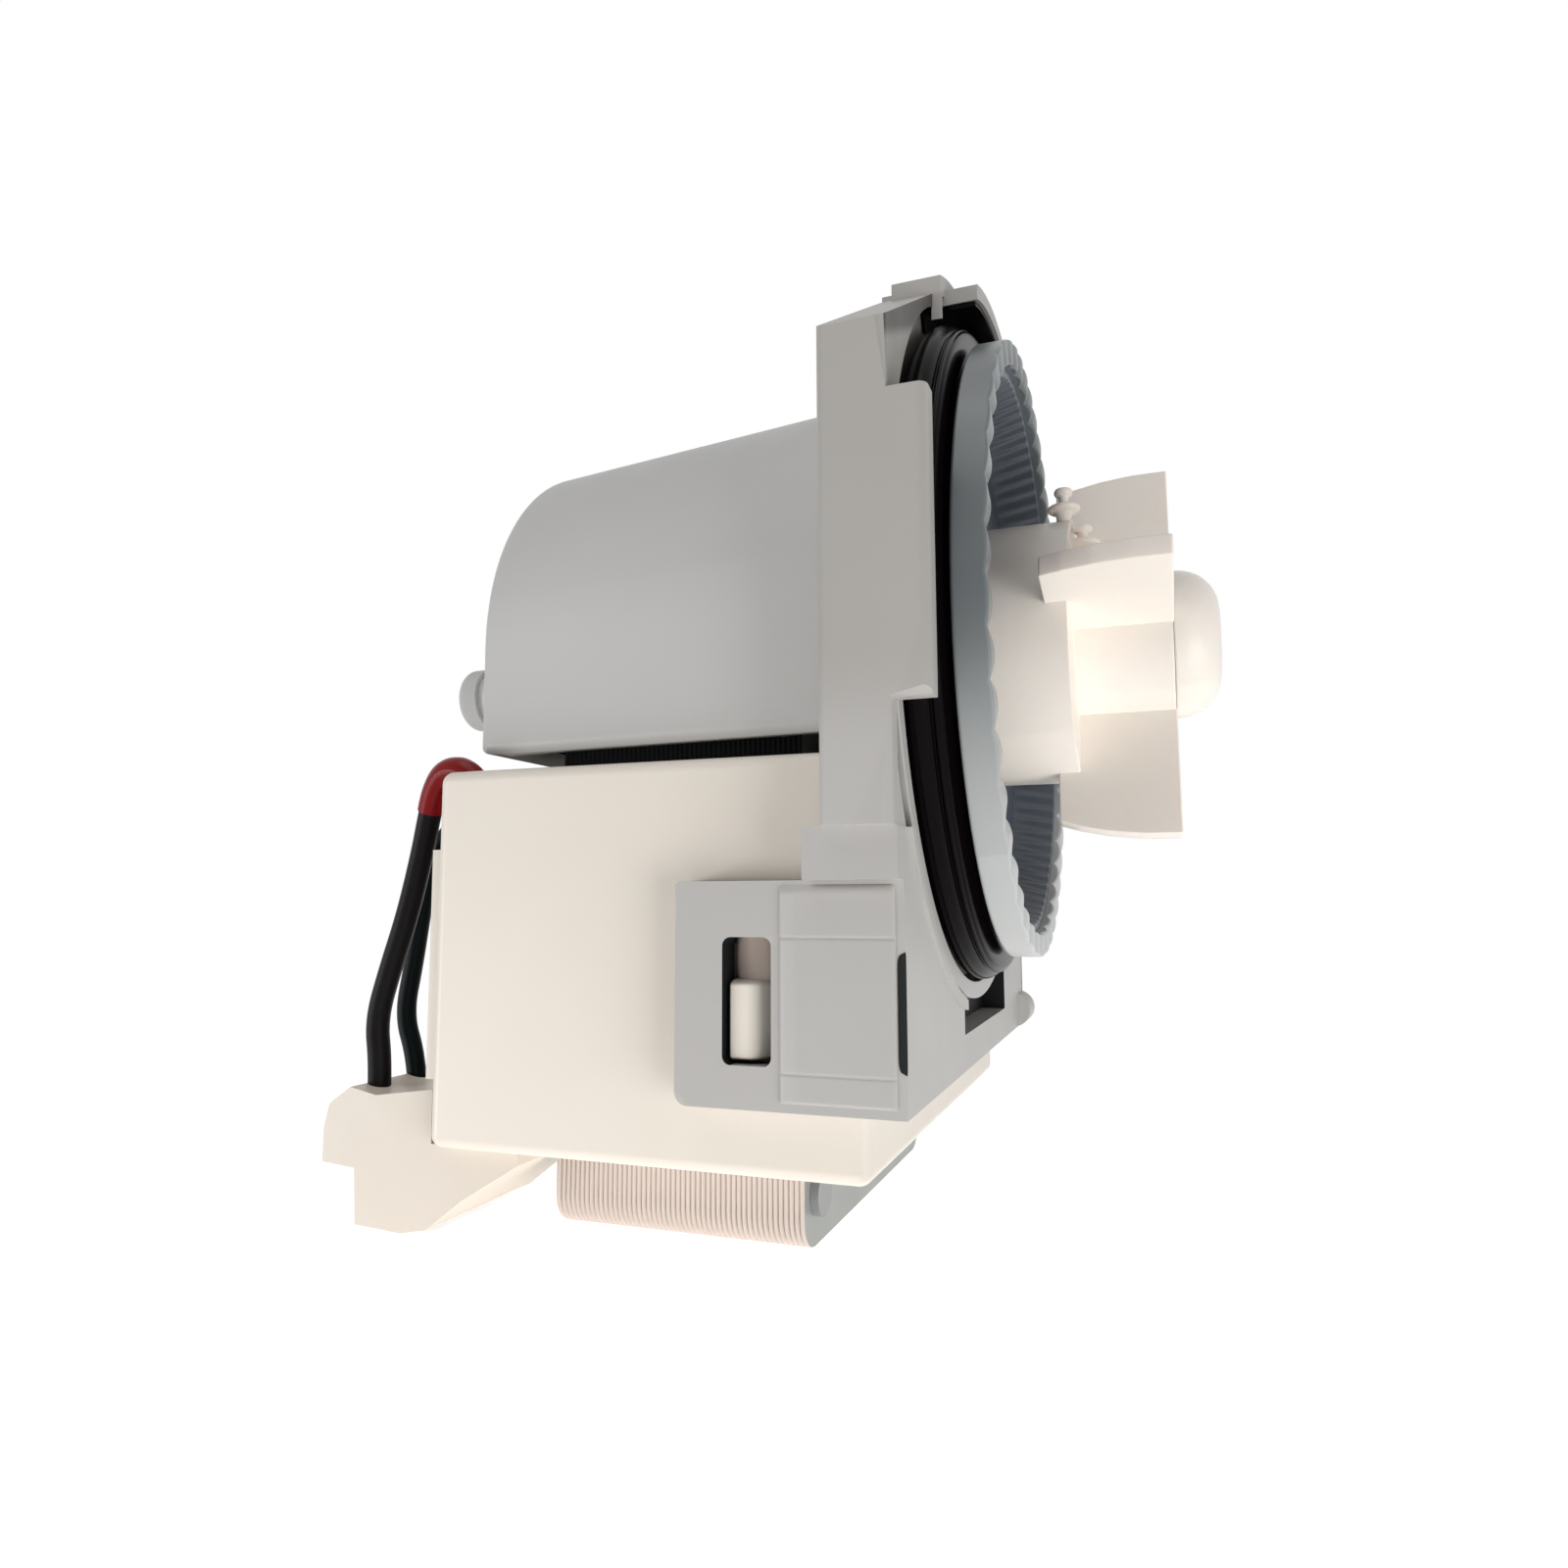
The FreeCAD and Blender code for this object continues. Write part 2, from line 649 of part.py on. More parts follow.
# Chamber seal: rubber ring with two lips on the neck behind the rim
seal = new_body("chamber_seal")
turned(seal, "seal_turned", [
    ("-seal_back", "neck_radius + fit_gap"),
    ("-seal_back", "seal_radius - seal_shoulder"),
    ("-seal_back + seal_chamfer", "seal_radius"),
    ("-seal_front - seal_bead", "seal_radius"),
    ("-seal_front - seal_bead + seal_lip", "seal_radius - seal_groove"),
    ("-seal_front - seal_bead + 2 * seal_lip", "seal_radius - seal_groove / 3"),
    ("-seal_front", "seal_radius - seal_groove - seal_groove / 3"),
    ("-seal_front", "neck_radius + fit_gap"),
])
PARTS["chamber_seal"] = seal

# Stator cover: tapered arch with a rounded rear edge, open below and in front


def arch_loft(name, sections, bottom):
    """Tapered arch through sections, each an X place and a radius."""
    body = new_body(name)
    sketches = []
    for k, (place, radius) in enumerate(sections):
        sketch = new_sketch(body, "%s_section_%d" % (name, k), "YZ_Plane", place)
        arch(sketch, radius, bottom)
        sketches.append(sketch)
    loft = body.newObject("PartDesign::AdditiveLoft", name + "_loft")
    loft.Profile = sketches[0]
    loft.Sections = sketches[1:]
    loft.Ruled = True
    return body


cover_outside = arch_loft("cover_outside", [
    ("-cover_rear", "cover_radius_rear - cover_edge"),
    ("-cover_rear + 0.293 * cover_edge", "cover_radius_rear - 0.293 * cover_edge"),
    ("-cover_rear + cover_edge", "cover_radius_rear"),
    ("-plate_back - fit_gap", "cover_radius_front"),
], "-cover_bottom")
cover_inside = arch_loft("cover_inside", [
    ("-cover_rear + cover_wall", "cover_radius_rear - cover_wall"),
    ("-plate_back + 1", "cover_radius_front - cover_wall"),
], "-cover_bottom - 1")
PARTS["stator_cover"] = cut("stator_cover", cover_outside, [
    cover_inside, rod("cover_hole", "-cover_rear - 1", "-cover_rear + cover_wall + 1", "boss_radius + part_gap")])

# Stator core: U shaped lamination pack, its legs bored for the rotor can
core = new_body("core_pack")
core_sketch = new_sketch(core, "core_outline", "YZ_Plane", "-core_front - core_length")
polygon(core_sketch, [
    ("-core_half_width", "-core_bottom"),
    ("core_half_width", "-core_bottom"),
    ("core_half_width", "core_shoulder"),
    ("core_half_width - core_chamfer", "core_top"),
    ("core_half_width - leg_width", "core_top"),
    ("core_half_width - leg_width", "-coil_box_bottom - yoke_gap"),
    ("-core_half_width + leg_width", "-coil_box_bottom - yoke_gap"),
    ("-core_half_width + leg_width", "core_top"),
    ("-core_half_width + core_chamfer", "core_top"),
    ("-core_half_width", "core_shoulder"),
])
core_pad = pad(core, "core_pad", core_sketch, "core_length")
core_round = rounded(core, "core_rounding", core_pad, "core_corner",
                     lambda edge, whole: edge.BoundBox.ZMax < whole.ZMin + 0.01 and edge.BoundBox.YLength < 0.01)
core_bore = new_sketch(core, "core_bore_outline", "YZ_Plane", "-core_front - core_length - 1")
disc(core_bore, "can_radius + bore_gap")
pocket(core, "core_bore", core_bore, "core_length + 2", True)
rivet_places = [(sign, level) for sign in ("-1", "1") for level in ("-rivet_low", "rivet_high")]
core_holes = [rod("core_hole_%d" % k, "-core_front - core_length - 1", "-core_front + 1",
                  "rivet_radius + fit_gap", sign + " * rivet_side", level)
              for k, (sign, level) in enumerate(rivet_places)]
PARTS["stator_core"] = cut("stator_core", core, core_holes)

rivets = []
for k, (sign, level) in enumerate(rivet_places):
    place = (sign + " * rivet_side", level)
    rivets.append(fuse("rivet_%d" % k, [
        rod("rivet_shank_%d" % k, "-core_front - core_length - rivet_head / 2", "-core_front + rivet_head / 2",
            "rivet_radius", *place),
        rod("rivet_rear_%d" % k, "-core_front - core_length - rivet_head - rivet_gap",
            "-core_front - core_length - rivet_gap", "rivet_head_radius", *place),
        rod("rivet_front_%d" % k, "-core_front + rivet_gap", "-core_front + rivet_head + rivet_gap",
            "rivet_head_radius", *place),
    ]))
rivet_set = doc.addObject("Part::Compound", "core_rivets")
rivet_set.Links = rivets
PARTS["core_rivets"] = rivet_set

# Bobbins and windings, one round each leg of the core
leg_middle = "(core_half_width - leg_width / 2)"
core_middle = "(core_front + core_length / 2)"
SLOT_X = "(core_length / 2 + fit_gap * 4)"
SLOT_Y = "(leg_width / 2 + fit_gap * 4)"


def coil_block(name, sign, extra, low, high):
    """Block round one leg, wider than its slot by extra on every side."""
    middle = "%s * %s" % (sign, leg_middle)
    extra = "(%s)" % extra
    half_x = "%s + %s" % (SLOT_X, extra)
    half_y = "%s + %s" % (SLOT_Y, extra)
    return block(name, ("-%s - (%s)" % (core_middle, half_x), "-%s + %s" % (core_middle, half_x)),
                 ("%s - (%s)" % (middle, half_y), "%s + %s" % (middle, half_y)), (low, high))


COIL_LOW = "-coil_box_bottom + coil_box_corner + coil_floor"
COIL_HIGH = "-coil_box_top - coil_box_corner - coil_floor"
for side, sign in (("near", "-1"), ("far", "1")):
    build = "bobbin_wall + winding_build"
    tube = coil_block("bobbin_tube_" + side, sign, "bobbin_wall", COIL_LOW, COIL_HIGH)
    lower = coil_block("bobbin_lower_" + side, sign, build + " + bobbin_margin",
                       COIL_LOW, COIL_LOW + " + bobbin_flange")
    upper = coil_block("bobbin_upper_" + side, sign, build + " + bobbin_margin",
                       COIL_HIGH + " - bobbin_flange", COIL_HIGH)
    hole = coil_block("bobbin_hole_" + side, sign, "0", "-coil_box_bottom", "-coil_box_top")
    PARTS["bobbin_" + side] = cut("bobbin_" + side, fuse("bobbin_solid_" + side, [tube, lower, upper]), [hole])
    outer = coil_block("winding_outer_" + side, sign, build, COIL_LOW + " + bobbin_flange + fit_gap",
                       COIL_HIGH + " - bobbin_flange - fit_gap")
    soft = doc.addObject("Part::Fillet", "winding_round_" + side)
    soft.Base = outer
    doc.recompute()
    soft.Edges = [(k + 1, size("winding_corner"), size("winding_corner"))
                  for k, edge in enumerate(outer.Shape.Edges) if edge.BoundBox.ZLength > 5]
    inner = coil_block("winding_inner_" + side, sign, "bobbin_wall + fit_gap", "-coil_box_bottom", "-coil_box_top")
    PARTS["winding_" + side] = cut("winding_" + side, soft, [inner])

# Coil housing: cream box with two coil chambers and a step on its rear wall
coil_box = new_body("coil_box")
coil_sketch = new_sketch(coil_box, "coil_box_outline", "XY_Plane", "-coil_box_bottom")
polygon(coil_sketch, [
    ("-coil_box_back", "-coil_box_half_width"),
    ("-coil_box_front", "-coil_box_half_width"),
    ("-coil_box_front", "coil_box_half_width"),
    ("-coil_box_back", "coil_box_half_width"),
])
coil_pad = pad(coil_box, "coil_box_pad", coil_sketch, "coil_box_bottom - coil_box_top")
rounded(coil_box, "coil_box_rounding", coil_pad, "coil_box_corner", lambda edge, whole: True)
step_sketch = new_sketch(coil_box, "coil_step_outline", "XY_Plane", "-coil_box_bottom + coil_step_rise")
polygon(step_sketch, [
    ("-coil_box_back - coil_step", "-coil_box_half_width + coil_step"),
    ("-coil_box_back + 1", "-coil_box_half_width + coil_step"),
    ("-coil_box_back + 1", "coil_box_half_width - coil_step"),
    ("-coil_box_back - coil_step", "coil_box_half_width - coil_step"),
])
pad(coil_box, "coil_step_pad", step_sketch, "coil_box_bottom - coil_step_rise - coil_step_top")
chambers = []
for side, sign in (("near", "-1"), ("far", "1")):
    chambers.append(coil_block("chamber_" + side, sign, "bobbin_wall + winding_build + part_gap",
                               COIL_LOW + " - bobbin_margin", COIL_HIGH + " + bobbin_margin"))
    chambers.append(coil_block("leg_slot_" + side, sign, "0", "-coil_box_bottom - 1", "-coil_box_top + 1"))
chambers.append(block(
    "cutout_room", ("-cutout_front - cutout_length - cutout_pocket", "-cutout_front + cutout_pocket"),
    ("-cutout_width / 2 - fit_gap", "cutout_width / 2 + fit_gap"),
    ("-cutout_top - cutout_height - cutout_pocket", "-cutout_top + cutout_pocket")))
chambers.append(rod("can_trough", "-coil_box_back - coil_step - 1", "-coil_box_front + 1",
                    "can_radius + part_gap"))
latches = []
for side, sign in (("near", "-1"), ("far", "1")):
    latch = doc.addObject("Part::Wedge", "latch_" + side)
    bind(latch, "Xmin", "0")
    bind(latch, "Xmax", "window_back - window_front - 2 * latch_gap")
    bind(latch, "X2min", "0")
    bind(latch, "X2max", "window_back - window_front - 2 * latch_gap")
    bind(latch, "Ymin", "0")
    bind(latch, "Ymax", "base_half_width - coil_box_half_width + latch_root")
    bind(latch, "Zmin", "0")
    bind(latch, "Zmax", "window_bottom - latch_top - latch_gap")
    bind(latch, "Z2min", "0")
    bind(latch, "Z2max", "window_bottom - latch_top - latch_gap - latch_slope")
    bind(latch, "Placement.Base.x", "-window_back + latch_gap" if sign == "1" else "-window_front - latch_gap")
    bind(latch, "Placement.Base.y", "%s * (coil_box_half_width - latch_root)" % sign)
    bind(latch, "Placement.Base.z", "-window_bottom + latch_gap")
    if sign == "-1":
        latch.Placement = FreeCAD.Placement(latch.Placement.Base, FreeCAD.Rotation(Vector(0, 0, 1), 180))
    latches.append(latch)
PARTS["coil_housing"] = cut("coil_housing", fuse("coil_housing_solid", [coil_box] + latches), chambers)

# Thermal cut-out between the two coils
PARTS["thermal_cutout"] = block(
    "thermal_cutout", ("-cutout_front - cutout_length", "-cutout_front"),
    ("-cutout_width / 2", "cutout_width / 2"),
    ("-cutout_top - cutout_height", "-cutout_top"))

# Socket block for the plug, with its two contact tabs
socket = new_body("connector_body")
socket_sketch = new_sketch(socket, "socket_outline", "XZ_Plane", "socket_far")
polygon(socket_sketch, [
    ("-socket_back + socket_shoulder", "-socket_top - socket_draft"),
    ("-socket_back + 2 * socket_draft", "-socket_top - socket_round"),
    ("-socket_back", "-socket_top - socket_cheek"),
    ("-socket_back", "-socket_ledge + socket_draft"),
    ("-socket_back + socket_wing", "-socket_ledge"),
    ("-socket_back + socket_wing + socket_draft", "-socket_bottom + socket_draft"),
    ("-socket_back + socket_throat", "-socket_bottom"),
    ("-socket_front - socket_draft", "-socket_bottom + 2 * socket_draft"),
    ("-socket_front + socket_heel", "-socket_bottom + socket_heel"),
    ("-socket_front + socket_tail", "-coil_box_bottom - fit_gap - socket_tail_thick"),
    ("-socket_front + socket_tail", "-coil_box_bottom - fit_gap"),
    ("-socket_front", "-coil_box_bottom - fit_gap"),
    ("-socket_front", "-socket_top"),
    ("-socket_back + 2 * socket_shoulder", "-socket_top - socket_dip"),
])
pad(socket, "socket_pad", socket_sketch, "socket_near - socket_far")
socket_hollow = block(
    "socket_hollow", ("-socket_back + socket_back_wall", "-socket_front - socket_front_wall"),
    ("-socket_near + socket_wall", "-socket_far - socket_wall"), ("-socket_bottom - 1", "-socket_roof"))
lead_holes = []
for side, place in (("near", "-socket_near + lead_side"), ("far", "-socket_near + lead_side + lead_pitch")):
    hole = doc.addObject("Part::Cylinder", "lead_hole_" + side)
    bind(hole, "Radius", "lead_radius + 2 * fit_gap")
    bind(hole, "Height", "lead_entry + 1")
    bind(hole, "Placement.Base.x", "-socket_back + lead_inset")
    bind(hole, "Placement.Base.y", place)
    bind(hole, "Placement.Base.z", "-socket_top - lead_entry")
    lead_holes.append(hole)
PARTS["connector_block"] = cut("connector_block", socket, [socket_hollow, *lead_holes])
tabs = []
for k, share in enumerate(("0.3", "0.7")):
    middle = "-socket_near + (socket_near - socket_far) * %s" % share
    tabs.append(block(
        "contact_tab_%d" % k, ("-socket_back + socket_back_wall + tab_inset",
                               "-socket_back + socket_back_wall + tab_inset + tab_width"),
        ("%s - tab_thick / 2" % middle, "%s + tab_thick / 2" % middle),
        ("-socket_roof - tab_length", "-socket_roof")))
tab_set = doc.addObject("Part::Compound", "contact_tabs")
tab_set.Links = tabs
PARTS["contact_tabs"] = tab_set


def tube_along(name, points, radius):
    """Round tube through points, its runs joined by tangent arcs as large as the runs allow."""
    corners = [Vector(*point) for point in points]
    edges = []
    start = corners[0]
    for k in range(1, len(corners) - 1):
        back = (corners[k - 1] - corners[k])
        ahead = (corners[k + 1] - corners[k])
        turn = math.pi - back.getAngle(ahead)
        bend = 0.45 * min(back.Length, ahead.Length) / math.tan(turn / 2)
        trim = bend * math.tan(turn / 2)
        first = corners[k] + back.normalize() * trim
        last = corners[k] + ahead.normalize() * trim
        inward = (back + ahead).normalize()
        middle = corners[k] + inward * (bend / math.cos(turn / 2) - bend)
        edges.append(Part.LineSegment(start, first).toShape())
        edges.append(Part.Arc(first, middle, last).toShape())
        start = last
    edges.append(Part.LineSegment(start, corners[-1]).toShape())
    path = Part.Wire(edges)
    section = Part.Wire([Part.Circle(corners[0], corners[1] - corners[0], radius).toShape()])
    shape = path.makePipeShell([section], True, False)
    expected = math.pi * radius ** 2 * path.Length
    print(name, "length", round(path.Length, 2), "volume ratio", round(shape.Volume / expected, 4))
    item = doc.addObject("Part::Feature", name)
    item.Shape = shape
    return item


# Leads down to the socket block, in the order near to far. Their points are measured from the near,
# rear, upper corner of the coil box, and their lower ends stand in the holes of the block.
doc.recompute()
lead_radius = size("lead_radius")
sleeve_radius = lead_radius + size("sleeve_wall")
on_top = sleeve_radius + size("fit_gap")
box = coil_pad.Shape.BoundBox


def from_corner(points):
    """Points measured from the corner of the coil box."""
    return [(box.XMin + x, box.YMin + y, box.ZMax + z) for x, y, z in points]


def into_hole(hole, above):
    """Two points on a hole's axis: above its mouth, and just over its floor."""
    middle = hole.Shape.BoundBox.Center
    return [(middle.x, middle.y, hole.Shape.BoundBox.ZMax + above),
            (middle.x, middle.y, hole.Shape.BoundBox.ZMin + size("fit_gap"))]


PARTS["lead_sleeve_red"] = tube_along("lead_sleeve_red", from_corner([
    (6.1, 2.4, on_top),
    (1.0, 2.6, on_top),
    (-2.8, 3.4, 0.5),
    (-4.9, 4.4, -2.7),
]), sleeve_radius)
PARTS["power_lead_near"] = tube_along("power_lead_near", from_corner([
    (-5.1, 4.5, -3.0),
    (-6.6, 4.9, -7.6),
    (-8.0, 5.0, -13.3),
    (-9.4, 5.0, -18.8),
    (-11.0, 5.0, -24.3),
]) + into_hole(lead_holes[0], 0.2), lead_radius)
PARTS["power_lead_far"] = tube_along("power_lead_far", from_corner([
    (-1.3, 11.0, -9.3),
    (-4.8, 11.0, -9.6),
    (-8.0, 11.0, -11.9),
    (-9.9, 11.0, -16.1),
    (-11.6, 11.0, -21.3),
    (-12.0, 11.0, -25.3),
]) + into_hole(lead_holes[1], 0.0), lead_radius)

# Bearings in their rubber cushions
PARTS["front_bearing"] = ring_piece(
    "front_bearing", "-front_bearing_front - bearing_length", "-front_bearing_front",
    "shaft_radius + running_fit", "bearing_radius")
PARTS["rear_bearing"] = ring_piece(
    "rear_bearing", "-rear_bearing_front - bearing_length", "-rear_bearing_front",
    "shaft_radius + running_fit", "bearing_radius")
PARTS["front_bearing_cushion"] = ring_piece(
    "front_bearing_cushion", "-front_bearing_front - bearing_length", "-front_bearing_front",
    "bearing_radius + fit_gap", "bearing_radius + cushion_wall")
PARTS["rear_bearing_cushion"] = ring_piece(
    "rear_bearing_cushion", "-rear_bearing_front - bearing_length", "-rear_bearing_front",
    "bearing_radius + fit_gap", "bearing_radius + cushion_wall")
PARTS["shaft_seal"] = ring_piece(
    "shaft_seal", "-chamber_depth - shaft_seal_length", "-chamber_depth",
    "shaft_radius + running_fit", "shaft_seal_radius")

# Rotor: shaft, magnet on its carrier, two thrust washers and the drive dog
PARTS["rotor_shaft"] = rod("rotor_shaft", "-shaft_rear", "shaft_front", "shaft_radius")
carrier = new_body("magnet_carrier")
turned(carrier, "carrier_turned", [
    ("-core_front - core_length / 2 - magnet_length / 2 - carrier_flange", "shaft_radius + running_fit"),
    ("-core_front - core_length / 2 - magnet_length / 2 - carrier_flange", "magnet_bore + carrier_rise"),
    ("-core_front - core_length / 2 - magnet_length / 2", "magnet_bore + carrier_rise"),
    ("-core_front - core_length / 2 - magnet_length / 2", "magnet_bore"),
    ("-core_front - core_length / 2 + magnet_length / 2", "magnet_bore"),
    ("-core_front - core_length / 2 + magnet_length / 2", "shaft_radius + running_fit"),
])
PARTS["magnet_carrier"] = carrier
PARTS["rotor_magnet"] = ring_piece(
    "rotor_magnet", "-core_front - core_length / 2 - magnet_length / 2 + fit_gap",
    "-core_front - core_length / 2 + magnet_length / 2", "magnet_bore + fit_gap", "magnet_radius")
washers = doc.addObject("Part::Compound", "thrust_washers")
washers.Links = [
    ring_piece("front_washer", "-front_bearing_front - bearing_length - washer_play - washer_thick",
               "-front_bearing_front - bearing_length - washer_play", "shaft_radius + running_fit", "washer_radius"),
    ring_piece("rear_washer", "-rear_bearing_front + washer_play", "-rear_bearing_front + washer_play + washer_thick",
               "shaft_radius + running_fit", "washer_radius"),
]
PARTS["thrust_washers"] = washers

# Impeller: cup, four blades and hub, with the room for the drive dog
impeller = new_body("impeller_body")
turned(impeller, "impeller_turned", [
    ("-cup_back", "cup_radius - cup_wall"),
    ("-cup_back", "cup_radius"),
    ("cup_front", "cup_radius"),
    ("cup_front", "hub_radius"),
    ("blade_front", "hub_radius"),
    ("blade_front", "hub_radius - hub_wall"),
    ("cup_front + hub_floor", "hub_radius - hub_wall"),
    ("cup_front + hub_floor", "shaft_radius + running_fit"),
    ("-cup_back + cup_land", "shaft_radius + running_fit"),
    ("-cup_back + cup_land", "shaft_radius + cup_relief"),
    ("cup_front - cup_wall", "shaft_radius + cup_relief"),
    ("cup_front - cup_wall", "cup_radius - cup_wall"),
])
blade_sketch = new_sketch(impeller, "blade_outline", "XZ_Plane", "-blade_thick / 2")
polygon(blade_sketch, [
    ("blade_back", "hub_radius - hub_wall / 2"),
    ("blade_front", "hub_radius - hub_wall / 2"),
    ("blade_front", "impeller_radius"),
    ("blade_front - blade_tip", "impeller_radius"),
    ("blade_back", "impeller_radius - blade_taper"),
])
blade = pad(impeller, "blade", blade_sketch, "blade_thick")
polar(impeller, "blade_ring", blade, "blade_count")
impeller_bore = rod("impeller_bore", "-cup_back - 1", "cup_front + hub_floor", "shaft_radius + running_fit")


def sector(name, low, high, inner, outer, angle, middle):
    """Part of a sleeve along X, angle wide, its middle turned from the top."""
    pie = doc.addObject("Part::Cylinder", name + "_pie")
    bind(pie, "Radius", outer)
    bind(pie, "Height", "(%s) - (%s)" % (high, low))
    bind(pie, "Angle", angle)
    pie.Placement = FreeCAD.Placement(Vector(), FreeCAD.Rotation(Vector(0, 1, 0), 90))
    bind(pie, "Placement.Base.x", low)
    holder = doc.addObject("Part::Compound", name + "_turned")
    holder.Links = [pie]
    bind(holder, "Placement.Rotation.Angle", "%s - (%s) / 2" % (middle, angle))
    holder.Placement = FreeCAD.Placement(Vector(), FreeCAD.Rotation(Vector(1, 0, 0), 1))
    return cut(name, holder, [rod(name + "_core", "%s - 1" % low, "%s + 1" % high, inner)])


stop_rib = sector("stop_rib", "cup_front + hub_floor / 2", "cup_front + hub_floor + dog_length + dog_tail",
                  "dog_collar + part_gap", "hub_radius - hub_wall / 2", "stop_angle", "180")
impeller_solid = cut("impeller_solid", impeller, [impeller_bore])
turned_impeller = doc.addObject("Part::Compound", "impeller")
turned_impeller.Links = [fuse("impeller_whole", [impeller_solid, stop_rib])]
turned_impeller.Placement = FreeCAD.Placement(Vector(), FreeCAD.Rotation(Vector(1, 0, 0), 1))
bind(turned_impeller, "Placement.Rotation.Angle", "-blade_turn")
PARTS["impeller"] = turned_impeller

dog_lug = sector("dog_lug", "cup_front + hub_floor + dog_play", "cup_front + hub_floor + dog_length",
                 "(dog_collar + shaft_radius) / 2", "hub_radius - hub_wall - part_gap", "dog_angle", "0")
dog_collar = ring_piece("dog_ring", "cup_front + hub_floor + dog_play", "cup_front + hub_floor + dog_length",
                        "shaft_radius + running_fit", "dog_collar")
dog = doc.addObject("Part::Compound", "drive_dog")
dog.Links = [fuse("dog_whole", [dog_lug, dog_collar])]
dog.Placement = FreeCAD.Placement(Vector(), FreeCAD.Rotation(Vector(1, 0, 0), 1))
bind(dog, "Placement.Rotation.Angle", "-blade_turn")
PARTS["drive_dog"] = dog

cap = new_body("hub_cap")
cap_turned = turned(cap, "cap_turned", [
    ("cup_front + hub_floor + dog_length + dog_tail + plug_gap", "0"),
    ("cup_front + hub_floor + dog_length + dog_tail + plug_gap", "hub_radius - hub_wall - fit_gap"),
    ("blade_front + fit_gap", "hub_radius - hub_wall - fit_gap"),
    ("blade_front + fit_gap", "cap_radius"),
    ("hub_tip", "cap_radius"),
    ("hub_tip", "0"),
])
rounded(cap, "cap_rounding", cap_turned, "hub_rounding",
        lambda edge, whole: edge.BoundBox.XMin > whole.XMax - 0.01 and edge.BoundBox.ZLength > whole.ZLength / 2)
PARTS["hub_cap"] = cap

doc.recompute()

# Every object has to be sound before anything is written
failed = [item.Name for item in doc.Objects if "Invalid" in item.State or "Error" in item.State]
if failed:
    raise RuntimeError("These objects failed: %s" % ", ".join(failed))
os.makedirs("parts", exist_ok=True)
for node, item in PARTS.items():
    item.Label = node
    shape = item.Shape
    if shape.isNull() or not shape.isValid() or not shape.Solids:
        raise RuntimeError("%s has no valid solid" % node)
    shape.exportStep("parts/%s.step" % node)
    print(node, len(shape.Solids), round(shape.Volume, 1))
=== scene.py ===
import math

import bmesh
import bpy
import numpy as np
from mathutils import Matrix, Vector


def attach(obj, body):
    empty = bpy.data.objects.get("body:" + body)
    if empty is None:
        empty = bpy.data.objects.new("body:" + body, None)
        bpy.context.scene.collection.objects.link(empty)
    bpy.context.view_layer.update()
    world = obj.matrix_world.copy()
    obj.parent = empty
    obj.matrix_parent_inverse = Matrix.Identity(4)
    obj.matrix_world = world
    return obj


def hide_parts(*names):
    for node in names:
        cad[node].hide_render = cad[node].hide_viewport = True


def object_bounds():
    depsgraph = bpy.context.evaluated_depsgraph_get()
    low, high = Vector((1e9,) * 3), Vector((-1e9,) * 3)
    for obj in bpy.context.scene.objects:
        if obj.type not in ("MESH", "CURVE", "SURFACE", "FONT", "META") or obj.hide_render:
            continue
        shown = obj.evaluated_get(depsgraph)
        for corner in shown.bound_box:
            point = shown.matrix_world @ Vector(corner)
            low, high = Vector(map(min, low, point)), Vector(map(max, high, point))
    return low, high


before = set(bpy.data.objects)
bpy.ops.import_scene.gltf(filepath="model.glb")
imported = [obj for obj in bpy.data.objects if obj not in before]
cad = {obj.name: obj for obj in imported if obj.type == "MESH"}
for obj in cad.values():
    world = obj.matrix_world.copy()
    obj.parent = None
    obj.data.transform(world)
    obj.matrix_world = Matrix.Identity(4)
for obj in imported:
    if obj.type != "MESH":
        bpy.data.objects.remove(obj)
cad_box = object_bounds()

# Pump housing. One moulding in talc filled polypropylene: the square flange with its walls, the base and
# the two side clips. It leaves the mould with edges broken by a fifth of a millimetre and a matt grain.
housing_edge, flange_back, flange_front, rim_back_in_cad = 0.22, -12.2, -6.4, -2.7
rim_radii_in_cad, tucked_front, tucked_radii = (27.0, 32.0), -0.9, (29.9, 31.1)
block_front, block_front_in_cad, block_inner, block_side = -3.2, -2.4, 25.0, 36.2
block_span, block_low, block_round = (-11.0, 15.0), -10.3, 0.8
clip_rear, clip_inner, clip_face, clip_corners = -25.6, 29.5, 33.0, ((-42.0, 1.1), (-24.0, 0.4))
window_back, window_front, window_low, window_high, window_round = -21.4, -17.2, -38.6, -28.5, 0.7
window_middle, window_wall = (window_back + window_front) / 2, (1.2, 2.15)
pocket_spans, corner_low = ((-9.1, -6.5), (-9.1, 17.1), (-38.5, -33.5)), 14.0


def linear(code):
    """Linear RGBA of an sRGB hex colour such as "B2B1AE"."""
    shares = np.array([int(code[k:k + 2], 16) for k in (0, 2, 4)]) / 255
    shares = np.where(shares <= 0.04045, shares / 12.92, ((shares + 0.055) / 1.055) ** 2.4)
    return [*shares.tolist(), 1.0]


def add(tree, kind, settings=None, wires=None):
    """Add a node: settings fills its properties or unlinked sockets, wires links its sockets."""
    node = tree.nodes.new(kind)
    for key, value in (settings or {}).items():
        if isinstance(key, int) or key in node.inputs:
            node.inputs[key].default_value = value
        else:
            setattr(node, key, value)
    for key, output in (wires or {}).items():
        tree.links.new(output, node.inputs[key])
    return node


def new_tree(name):
    """New material with an empty node tree."""
    material = bpy.data.materials.new(name)
    material.use_nodes = True
    material.node_tree.nodes.clear()
    return material, material.node_tree


